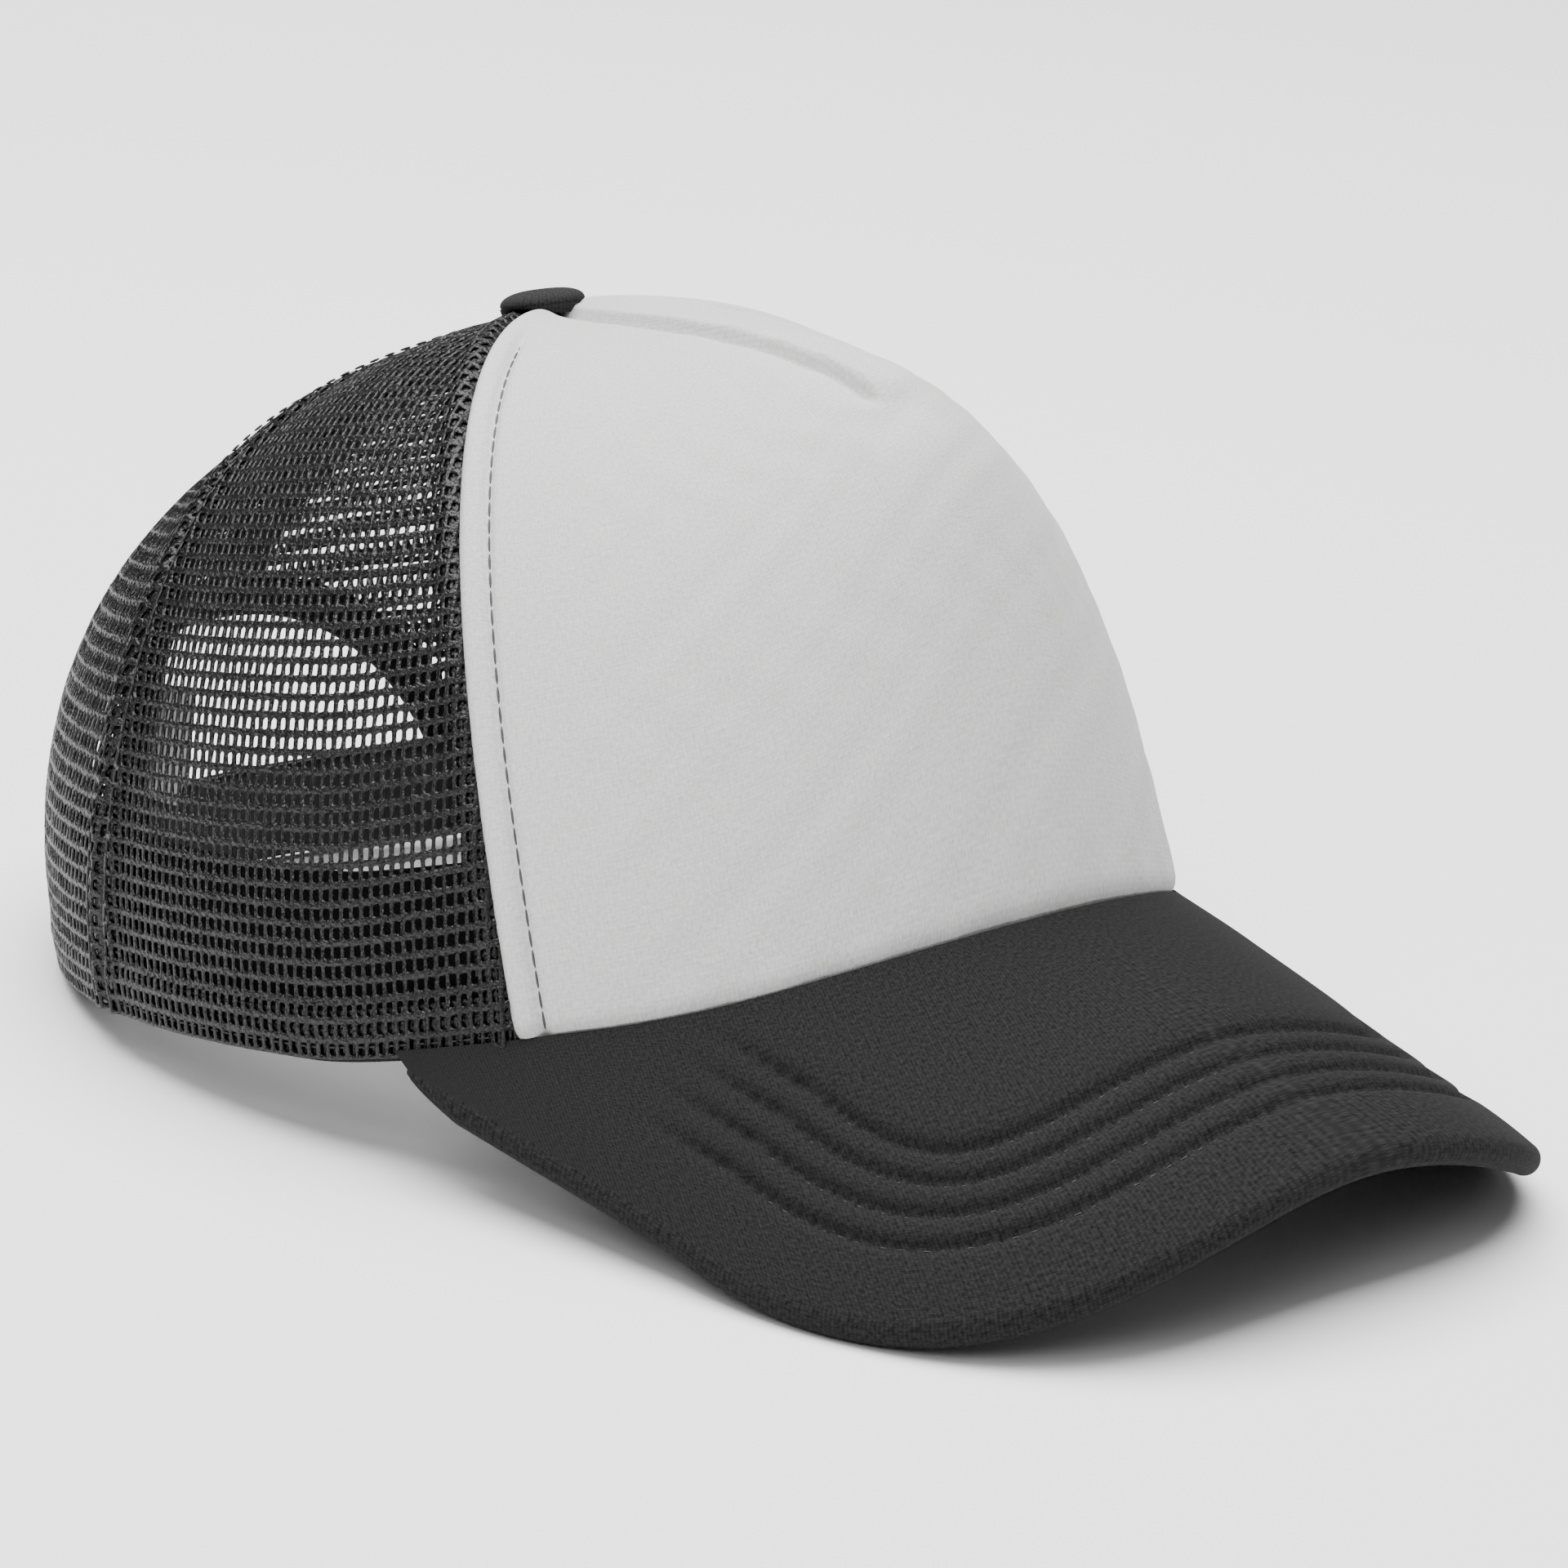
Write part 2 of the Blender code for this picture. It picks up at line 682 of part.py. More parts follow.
def strap_anchor(name, sign, outer, material, cap):
    """The end of a strap that is sewn inside the hem.

    It lies along the crown where it is sewn and stands upright where it meets the bending line.
    """
    near = hem_angle_at_back(ARCH_HALF_WIDTH - STRAP_HINGE_INSET + STRAP_ROOT_GAP)
    far = hem_angle_at_back(ARCH_HALF_WIDTH + STRAP_ANCHOR_LENGTH)

    def place(u, v):
        share = u if sign > 0 else 1 - u
        angle = sign * (far + (near - far) * share)
        height = STRAP_LIFT + STRAP_WIDTH * v
        past_foot = ARCH_HALF_WIDTH + STRAP_SETTLE - abs(hem_point(angle).x)
        upright = smooth(past_foot / (STRAP_HINGE_INSET + STRAP_SETTLE))
        rise = rise_at(abs(angle), height) * (1 - upright)
        point = crown_point(angle, rise, strap_depth(outer))
        return Vector((point.x, point.y, height))

    mesh = grid_mesh(name, 8, 3, place)
    anchor = mesh_to_object(name, mesh, material, *cap)
    thicken(anchor, STRAP_THICKNESS)


def turned(name, profile, height, material, cap):
    """A turned piece on the button's axis. Its profile runs down its outer side at +X."""
    shape = bmesh.new()
    points = [shape.verts.new((radius, 0, level)) for radius, level in profile]
    for first, second in zip(points, points[1:]):
        shape.edges.new((first, second))
    mesh = bpy.data.meshes.new(name)
    shape.to_mesh(mesh)
    shape.free()
    piece = mesh_to_object(name, mesh, material, *cap)
    piece.location = (0, BUTTON_SETBACK, height)
    spin = piece.modifiers.new("turn", "SCREW")
    spin.angle = math.tau
    spin.steps = TURNED_STEPS
    spin.render_steps = TURNED_STEPS
    spin.use_merge_vertices = True
    spin.merge_threshold = 0.00001
    piece.data.shade_smooth()
    return piece


def closed_profile(points):
    return [*points, points[0]]


def button(cap):
    fabric = make_material("black_button_fabric", BLACK_FABRIC, 0.9)
    steel = make_material("rivet_steel", STEEL, 0.35, 1.0)
    top = CROWN_HEIGHT + FOAM_PROUD + BUTTON_LIFT
    dome = []
    steps = 6
    for step in range(steps + 1):
        turn = math.pi / 2 * step / steps
        rise = (BUTTON_HEIGHT - BUTTON_SKIRT) * math.cos(turn)
        dome.append((BUTTON_RADIUS * math.sin(turn), BUTTON_SKIRT + rise))
    dome[0] = (0, BUTTON_HEIGHT)
    dome += [
        (BUTTON_RADIUS * 0.97, 0),
        (BUTTON_RECESS_RADIUS, 0),
        (BUTTON_RECESS_RADIUS, BUTTON_RECESS_DEPTH),
        (0, BUTTON_RECESS_DEPTH),
    ]
    turned("button_cap", dome, top, fabric, cap)
    washer_top = -(BUTTON_LIFT + FOAM_THICKNESS + LAYER_GAP * 2 + CURVE_ALLOWANCE)
    washer_low = washer_top - WASHER_THICKNESS
    hole = RIVET_RADIUS + FIT_GAP
    washer = [
        (WASHER_RADIUS, washer_top),
        (WASHER_RADIUS, washer_low),
        (hole, washer_low),
        (hole, washer_top),
    ]
    turned("button_washer", closed_profile(washer), top, steel, cap)
    head_top = BUTTON_RECESS_DEPTH - FIT_GAP
    foot = washer_low - FIT_GAP
    rivet = [
        (0, head_top),
        (RIVET_HEAD_RADIUS, head_top),
        (RIVET_HEAD_RADIUS, head_top - RIVET_HEAD_THICKNESS),
        (RIVET_RADIUS, head_top - RIVET_HEAD_THICKNESS),
        (RIVET_RADIUS, foot),
        (RIVET_HEAD_RADIUS, foot),
        (RIVET_HEAD_RADIUS, foot - RIVET_HEAD_THICKNESS),
        (0, foot - RIVET_HEAD_THICKNESS),
    ]
    turned("button_rivet", rivet, top, steel, cap)


def care_label(cap):
    """A blank label, sewn under the side seam tape on the wearer's right."""
    white = make_material("label_satin", LABEL_WHITE, 0.6)
    depth = MESH_THICKNESS + TAPE_THICKNESS + (LAYER_GAP + CURVE_ALLOWANCE) * 2

    def place(u, v):
        height = LABEL_BOTTOM + LABEL_HEIGHT * v
        start = side_seam(rise_at(SIDE_SEAM_LOW, height))
        angle = -start + LABEL_LENGTH / CROWN_HALF_WIDTH * u
        return crown_point(angle, rise_at(angle, height), depth + 0.0015 * u)

    mesh = grid_mesh("care_label", 3, 3, place)
    label = mesh_to_object("care_label", mesh, white, *cap)
    thicken(label, LABEL_THICKNESS)


def lowest_brim_points():
    """Points all along the underside of the rolled rim."""
    places = [-1 + step / 30 for step in range(61)]
    turns = [math.pi * step / 8 for step in range(4, 9)]
    return [brim_roll(across, turn) for across in places for turn in turns]


def resting_tip():
    """Tip that brings the brim's rim and the back of the hem to one level."""
    foot = hem_point(hem_angle_at_back(ARCH_HALF_WIDTH + BINDING_WIDTH + LAYER_GAP))
    rim = lowest_brim_points()

    def brim_is_above(tip):
        turn = Matrix.Rotation(-tip, 3, "X")
        return min((turn @ point).z for point in rim) > (turn @ foot).z

    return bisect(0.0, math.radians(25), brim_is_above)


def centre_on_ground(frame, collection):
    """Move the frame until the box round every piece stands centred on the origin."""
    bpy.context.view_layer.update()
    graph = bpy.context.evaluated_depsgraph_get()
    corners = [
        piece.matrix_world @ vertex.co
        for piece in collection.objects
        if piece.type == "MESH"
        for vertex in piece.evaluated_get(graph).to_mesh().vertices
    ]
    for axis, share in enumerate((0.5, 0.5, 0.0)):
        low = min(corner[axis] for corner in corners)
        high = max(corner[axis] for corner in corners)
        frame.location[axis] -= low + (high - low) * share


def build():
    clear_scene()
    collection = bpy.data.collections.new("trucker_cap")
    cutters = bpy.data.collections.new("cutters")
    cutters.hide_render = True
    bpy.context.scene.collection.children.link(collection)
    bpy.context.scene.collection.children.link(cutters)
    frame = bpy.data.objects.new("cap_frame", None)
    collection.objects.link(frame)
    frame.rotation_euler = (-resting_tip(), 0, 0)
    cap = (collection, frame)
    arch_cutter = make_arch_cutter(cutters, frame)
    front_panel(cap)
    mesh_panels(cap, arch_cutter)
    arch_binding(cap)
    seam_tapes(cap)
    sweatband(cap)
    brim(cap)
    straps(cap, cutters)
    button(cap)
    care_label(cap)
    centre_on_ground(frame, collection)


build()
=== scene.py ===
import json
import math

import bmesh
import bpy
import numpy as np
from mathutils import Matrix, Vector


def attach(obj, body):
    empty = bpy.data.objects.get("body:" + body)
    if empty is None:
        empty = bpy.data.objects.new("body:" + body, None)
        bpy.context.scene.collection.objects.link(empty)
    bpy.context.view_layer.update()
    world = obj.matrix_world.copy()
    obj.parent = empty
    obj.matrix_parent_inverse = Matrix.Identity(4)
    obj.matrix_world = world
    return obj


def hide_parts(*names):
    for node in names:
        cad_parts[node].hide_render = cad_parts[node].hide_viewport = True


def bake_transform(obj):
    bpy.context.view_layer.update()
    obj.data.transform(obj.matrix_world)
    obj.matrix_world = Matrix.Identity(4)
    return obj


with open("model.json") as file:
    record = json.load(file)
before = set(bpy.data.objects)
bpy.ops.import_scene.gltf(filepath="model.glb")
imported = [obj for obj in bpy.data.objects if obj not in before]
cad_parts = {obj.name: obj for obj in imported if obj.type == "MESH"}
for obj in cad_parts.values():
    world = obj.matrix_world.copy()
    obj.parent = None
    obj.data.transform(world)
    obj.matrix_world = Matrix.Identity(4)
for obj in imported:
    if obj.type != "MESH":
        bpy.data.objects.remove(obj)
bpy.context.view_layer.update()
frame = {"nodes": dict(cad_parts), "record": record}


# Front panel. One sheet of white foam with a knit face bonded to it. It is folded into a dart from the
# button down to the peak, rolled under at its edges and topstitched along both side seams.
# The crown's outer face, which every sewn piece follows, is worked out here.

half_width = 0.0867
half_length = 0.1015
crown_height = 0.1067
button_setback = 0.0107
lower_bulge = (-0.165, 0.033, 0.133)
lower_handle = (0.066, 0.044, 0.058)
upper_reach = (0.829, 0.692, 0.808)
upper_lift = (-0.0015, 0.0082, -0.0259)
ridge_width = 0.36
ridge_handle = 0.0234
ridge_reach = 0.084
ridge_lift = 0.0013
brim_lift = 0.0186
brim_bend = 0.0849
brim_slope = math.tan(math.radians(22.6))
brim_end_angle = math.radians(69.0)
panel_overlap = 0.0015
top_rise = 0.985
front_seam_low = math.radians(56.3)
front_seam_high = math.radians(70.0)
foam_overlap = 0.014
foam_proud = 0.0010
foam_thickness = 0.0034
edge_ridge = 0.0006
edge_ridge_inset = 0.0027
edge_ridge_width = 0.0022
edge_tuck = 0.0021
edge_tuck_width = 0.0024
topstitch_inset = 0.0056
topstitch_top = 0.90
groove_depth = 0.0013
groove_width = 0.0009
dart_foot = 0.56
dart_lean = 0.0062
dart_fold = 0.0011
dart_fold_width = 0.016
dart_valley = 0.0014
dart_valley_width = 0.005
dart_crease = 0.0009
dimple_depth = 0.0009
dimple_width = 0.009
hem_tuck = 0.0022
hem_tuck_share = 0.022
wave_height = 0.00016

mounts = {mount["name"]: mount for mount in frame["record"]["mounts"]}
cap_origin = np.array(mounts["head_seat"]["pos_m"])
cap_up = -np.array(mounts["head_seat"]["axis"])
cap_turn = np.array([(1, 0, 0), np.cross(cap_up, (1, 0, 0)), cap_up])


def to_world(points):
    """Points in the cap's own frame, whose hem lies in Z = 0, as points in the resting cap."""
    return points @ cap_turn + cap_origin


def around(angle, values):
    """Blend values given at the front, the sides and the back."""
    front, side, back = values
    mean = (front + back) / 4 + side / 2
    oval = (front + back) / 4 - side / 2
    return mean + (front - back) / 2 * np.cos(angle) + oval * np.cos(2 * angle)


def smooth(value):
    value = np.clip(value, 0.0, 1.0)
    return value * value * (3 - 2 * value)


def bump(distance, width):
    """1 at distance 0, falling smoothly to 0 over the width."""
    return np.exp(-((distance / width) ** 2))


def brim_height(x, y):
    return brim_lift - x * x / (2 * brim_bend) + brim_slope * (y + half_length)


def hem_at(angle):
    x = half_width * np.sin(angle)
    y = -half_length * np.cos(angle)
    follow = smooth((brim_end_angle - np.abs(angle)) / 0.5 + 0.35)
    return x, y, (brim_height(x, y) - panel_overlap) * follow


def crown_skin(angle, rise):
    x, y, z = hem_at(angle)
    ridge = bump(angle, ridge_width)
    handle = around(angle, lower_handle) + ridge_handle * ridge
    reach = around(angle, upper_reach) + ridge_reach * ridge
    lift = around(angle, upper_lift) + ridge_lift * ridge
    fall = 1 - rise
    start, lower, upper, end = fall**3, 3 * fall**2 * rise, 3 * fall * rise**2, rise**3
    share = start + lower * (1 + around(angle, lower_bulge)) + upper * reach
    height = start * z + lower * (z + handle) + upper * (crown_height + lift) + end * crown_height
    return np.stack([x * share, button_setback + (y - button_setback) * share, height], axis=-1)


def unit(vectors):
    return vectors / np.linalg.norm(vectors, axis=-1, keepdims=True)


def crown_normal(angle, rise):
    step = 0.002
    rise = np.minimum(rise, 0.98)
    across = crown_skin(angle + step, rise) - crown_skin(angle - step, rise)
    up = crown_skin(angle, rise + step) - crown_skin(angle, np.maximum(rise - step, 0.0))
    return unit(np.cross(across, up))


def crown_local(angle, rise, depth=0.0):
    """Points at an angle from the front, a rise from hem (0) to button (1) and a depth inwards."""
    angle, rise, depth = np.broadcast_arrays(angle, rise, depth)
    return crown_skin(angle, rise) - crown_normal(angle, rise) * depth[..., None]


def crown(angle, rise, depth=0.0):
    return to_world(crown_local(angle, rise, depth))


def rise_at(angle, height):
    """The rise at which the crown passes a height above the hem's plane."""
    low = np.zeros(np.broadcast(angle, height).shape)
    high = low + 0.8
    for _ in range(26):
        middle = (low + high) / 2
        above = crown_skin(angle, middle)[..., 2] > height
        high = np.where(above, middle, high)
        low = np.where(above, low, middle)
    return (low + high) / 2


def front_seam(rise):
    return front_seam_low + (front_seam_high - front_seam_low) * rise


def finish_piece(name, shape, material, body="cap"):
    """Turn a bmesh into an object of one material, which rides on a body if one is given."""
    mesh = bpy.data.meshes.new(name)
    shape.to_mesh(mesh)
    shape.free()
    mesh.shade_smooth()
    piece = bpy.data.objects.new(name, mesh)
    bpy.context.scene.collection.objects.link(piece)
    piece.data.materials.append(material)
    if body:
        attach(piece, body)
    return piece


def grid_shape(columns, rows, place, size, spread=None):
    """A grid whose points (u, v), each from 0 to 1, go to place(u, v). Its UV map is size in metres."""
    shape = bmesh.new()
    bmesh.ops.create_grid(shape, x_segments=columns, y_segments=rows, size=0.5)
    flat = np.array([vertex.co.xy for vertex in shape.verts]) + 0.5
    if spread:
        flat[:, 0] = spread(flat[:, 0])
    weave = shape.loops.layers.uv.new("weave")
    for face in shape.faces:
        for loop in face.loops:
            u, v = flat[loop.vert.index]
            loop[weave].uv = (u * size[0], v * size[1])
    for vertex, point in zip(shape.verts, place(flat[:, 0], flat[:, 1])):
        vertex.co = point
    return shape


def thicken(piece, thickness):
    solid = piece.modifiers.new("thickness", "SOLIDIFY")
    solid.thickness = thickness
    solid.offset = -1


class Nodes:
    """A material's nodes, made one after another. An input is given by name, or as _ and its number."""

    def __init__(self, name, colour, roughness):
        self.material = bpy.data.materials.new(name)
        self.material.use_nodes = True
        self.tree = self.material.node_tree
        self.shader = self.tree.nodes["Principled BSDF"]
        self.shader.inputs["Base Color"].default_value = (*colour, 1)
        self.shader.inputs["Roughness"].default_value = roughness

    def add(self, kind, settings=None, **inputs):
        node = self.tree.nodes.new(kind)
        for key, value in (settings or {}).items():
            setattr(node, key, value)
        for key, value in inputs.items():
            socket = node.inputs[int(key[1:])] if key[0] == "_" else node.inputs[key]
            if isinstance(value, bpy.types.NodeSocket):
                self.tree.links.new(value, socket)
            else:
                socket.default_value = value
        return node.outputs[0]

    def maths(self, operation, first, second=0.0):
        return self.add("ShaderNodeMath", {"operation": operation}, _0=first, _1=second)

    def mix_colour(self, value, low, high):
        """A colour that goes from low to high as the value goes from 0 to 1."""
        node = self.tree.nodes.new("ShaderNodeMix")
        node.data_type = "RGBA"
        for socket, given in zip((node.inputs[0], node.inputs[6], node.inputs[7]), (value, low, high)):
            if isinstance(given, bpy.types.NodeSocket):
                self.tree.links.new(given, socket)
            else:
                socket.default_value = given if isinstance(given, float) else (*given, 1)
        return node.outputs[2]

    def place(self, kind="uv"):
        node = self.tree.nodes.new("ShaderNodeTexCoord")
        return node.outputs["UV" if kind == "uv" else "Object"]

    def noise(self, where, scale, detail=2.0):
        return self.add("ShaderNodeTexNoise", None, Vector=where, Scale=scale, Detail=detail)

    def split(self, where):
        node = self.tree.nodes.new("ShaderNodeSeparateXYZ")
        self.tree.links.new(where, node.inputs[0])
        return node.outputs[0], node.outputs[1]

    def wave(self, value, pitch):
        """A ripple from 0 to 1 that repeats each pitch, in metres."""
        turned = self.maths("SINE", self.maths("MULTIPLY", value, math.tau / pitch))
        return self.maths("MULTIPLY_ADD", turned, 0.5)

    def relief(self, height, distance, strength=1.0):
        bumped = self.add("ShaderNodeBump", None, Height=height, Distance=distance, Strength=strength)
        self.tree.links.new(bumped, self.shader.inputs["Normal"])

    def colour(self, value):
        self.tree.links.new(value, self.shader.inputs["Base Color"])


def knit(name, colour, pale, pitch):
    """Fine jersey: columns of slanted stitches, with speckles where single loops catch the light."""
    cloth = Nodes(name, colour, 0.95)
    where = cloth.place()
    speckle = cloth.noise(where, 1500.0, 2.0)
    across, along = cloth.split(where)
    column = cloth.wave(across, pitch)
    lean = cloth.maths("ABSOLUTE", cloth.maths("SUBTRACT", column, 0.5))
    slant = cloth.maths("ADD", along, cloth.maths("MULTIPLY", lean, pitch * 0.8))
    loops = cloth.maths("MULTIPLY", column, cloth.wave(slant, pitch * 0.8))
    rough = cloth.maths("ADD", cloth.maths("MULTIPLY", loops, 0.28), speckle)
    cloth.relief(rough, pitch * 0.35, 0.5)
    lit = cloth.maths("MULTIPLY", cloth.maths("SUBTRACT", rough, 0.30), 1.5)
    cloth.colour(cloth.mix_colour(lit, colour, pale))
    cloth.shader.inputs["Specular IOR Level"].default_value = 0.15
    return cloth.material


def foam_edge(rise):
    """The panel's edge, a little past the seam that it covers."""
    return front_seam(rise) + foam_overlap


def seam_distance(u, rise):
    """Distance in metres from the nearer edge, across the front panel."""
    angle = foam_edge(rise)
    edge = crown_skin(angle, rise)
    inside = crown_skin(angle * 0.98, rise)
    per_radian = np.linalg.norm(edge - inside, axis=-1) / (angle * 0.02)
    return (1 - np.abs(2 * u - 1)) * angle * per_radian


def finer_at_seams(u):
    """Crowd the grid's columns at the side seams and at the dart."""
    return u - 0.045 * np.sin(4 * math.pi * u)


def foam_face(u, v):
    """The panel's outer face: u from the wearer's right seam to the left one, v from hem to button."""
    rise = v * top_rise
    angle = (2 * u - 1) * foam_edge(rise)
    seam = seam_distance(u, rise)
    proud = foam_proud + edge_ridge * bump(seam - edge_ridge_inset, edge_ridge_width)
    proud -= edge_tuck * np.clip(1 - seam / edge_tuck_width, 0, 1) ** 2
    in_groove = bump(seam - topstitch_inset, groove_width) * smooth((topstitch_top - rise) / 0.1)
    proud -= groove_depth * in_groove
    plan = crown_skin(angle, rise)[..., :2] - (0, button_setback)
    across = angle * np.linalg.norm(plan, axis=-1) + dart_lean * smooth((0.97 - rise) / 0.3)
    in_dart = smooth((rise - dart_foot + 0.02) / 0.05)
    upper = smooth(0.5 + across / 0.0018)
    fold = dart_fold * upper * bump(across, dart_fold_width)
    fold -= dart_valley * (1 - upper) * bump(across, dart_valley_width)
    fold -= dart_crease * bump(across, groove_width)
    proud += fold * in_dart
    below_dart = bump(rise - dart_foot + 0.04, 0.04) * bump(across, dimple_width)
    proud -= dimple_depth * below_dart
    proud -= hem_tuck * np.clip(1 - v / hem_tuck_share, 0, 1) ** 2
    waves = np.sin(angle * 31 + np.sin(rise * 23) * 1.7) * np.sin(rise * 37 + angle * 9)
    waves += 0.6 * np.sin(angle * 57 - rise * 41 + 1.3) * np.sin(rise * 61 + angle * 23)
    proud += wave_height * waves * smooth((seam - 0.008) / 0.02)
    return crown(angle, rise, -proud)


foam_cloth = knit("white_jersey_over_foam", (0.50, 0.50, 0.495), (0.72, 0.72, 0.71), 0.0007)
panel = finish_piece(
    "foam_front_panel",
    grid_shape(236, 150, foam_face, (0.19, 0.13), finer_at_seams),
    foam_cloth,
)
thicken(panel, foam_thickness)
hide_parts("front_panel")


# Topstitching of the front panel. Grey lockstitches run down both side grooves, from just below the
# button to the hem, and are pulled into the foam. The thread is a pale grey one coloured dark grey here,
# and the darkening is painted shade of the grooves.

topstitch_length = 0.0029
topstitch_pitch = 0.0032
topstitch_radius = 0.00022


def thread(name, colour):
    yarn = Nodes(name, colour, 0.6)
    where = yarn.place("object")
    twist = yarn.noise(where, 2500.0, 1.0)
    yarn.relief(twist, 0.0001, 0.5)
    yarn.colour(yarn.mix_colour(twist, tuple(part * 0.75 for part in colour), colour))
    return yarn.material


def stitch_row(name, line, length, pitch, radius, material):
    """Stitches along a line of points, each a slim capsule half sunk into the cloth."""
    steps = np.linalg.norm(np.diff(line, axis=0), axis=1)
    along = np.concatenate([[0], np.cumsum(steps)])
    row = bmesh.new()
    for start in np.arange(pitch / 2, along[-1] - pitch / 2, pitch):
        ends = [
            Vector([np.interp(at, along, line[:, axis]) for axis in range(3)])
            for at in (start - length / 2, start + length / 2)
        ]
        run = ends[1] - ends[0]
        turn = Vector((0, 0, 1)).rotation_difference(run.normalized()).to_matrix().to_4x4()
        stretch = Matrix.Diagonal((1, 1, run.length / (2 * radius), 1))
        bmesh.ops.create_uvsphere(
            row,
            u_segments=8,
            v_segments=6,
            radius=radius,
            matrix=Matrix.Translation((ends[0] + ends[1]) / 2) @ turn @ stretch,
        )
    return finish_piece(name, row, material)


# Painted shade: this thread's dark grey is partly its own grey and partly the shade of the grooves it
# lies in.
stitch_thread_painted_shade = thread("topstitch_thread_with_painted_groove_shade", (0.06, 0.06, 0.06))
for side, sign in (("right", -1), ("left", 1)):
    rise = np.linspace(0.012, topstitch_top, 240)
    whole = seam_distance(np.full_like(rise, 0.5), rise)
    angle = sign * foam_edge(rise) * (1 - topstitch_inset / whole)
    line = crown(angle, rise, 0.0001)
    stitches = stitch_row(
        "topstitch_" + side,
        line,
        topstitch_length,
        topstitch_pitch,
        topstitch_radius,
        stitch_thread_painted_shade,
    )


# Mesh panels. Four pieces of open polyester mesh: two at the sides and two at the back. Each is cut
# from a flat net whose rows run level, so its seams cut across the rows. The hem and the seams are
# turned in, which lays a second net behind the first.

mesh_pitch_across = 0.00188
mesh_pitch_up = 0.00295
thread_share = 0.195
corner_share = 0.10
net_thickness = 0.00045
net_layer_gap = 0.0006
yarn_lift = 0.00016
yarn_shift = 0.018
yarn_fuzz = 0.00005
side_seam_low = math.radians(108.7)
side_seam_sweep = math.radians(45.0)
arch_half_width = 0.0438
arch_height = 0.0472
arch_power = 0.9
binding_width = 0.0068
hem_turning = 0.0085
seam_turning = 0.0052
seam_ridge = 0.0009
seam_ridge_inset = 0.0028
seam_ridge_width = 0.0017
seam_valley = 0.0008
seam_valley_width = 0.0009
hem_ridge = 0.0004
hem_ridge_blend = 0.0012


def side_seam(rise):
    return side_seam_low + side_seam_sweep * rise**3


def centre_back(rise):
    return np.full_like(rise, math.pi)


def arch_inside(x, z, widen):
    """Where a point of the back lies in the rear opening, widened all round."""
    across = np.clip(np.abs(x) / (arch_half_width + widen), 0, 1) ** (1 / arch_power)
    return z < (arch_height + widen) * np.sqrt(1 - across**2) ** arch_power


def arc_length(points):
    steps = np.linalg.norm(np.diff(points, axis=0), axis=-1)
    return np.concatenate([np.zeros((1,) + steps.shape[1:]), np.cumsum(steps, axis=0)])


def seam_relief(height, from_near, from_far):
    """How far the net stands out beside a seam and over the turned hem, and sinks at the seam."""
    away = np.minimum(from_near, from_far)
    ridge = seam_ridge * bump(away - seam_ridge_inset, seam_ridge_width)
    valley = seam_valley * bump(away, seam_valley_width)
    low = np.clip(0.5 + (hem_turning - height) / hem_ridge_blend, 0, 1)
    return ridge - valley + hem_ridge * low


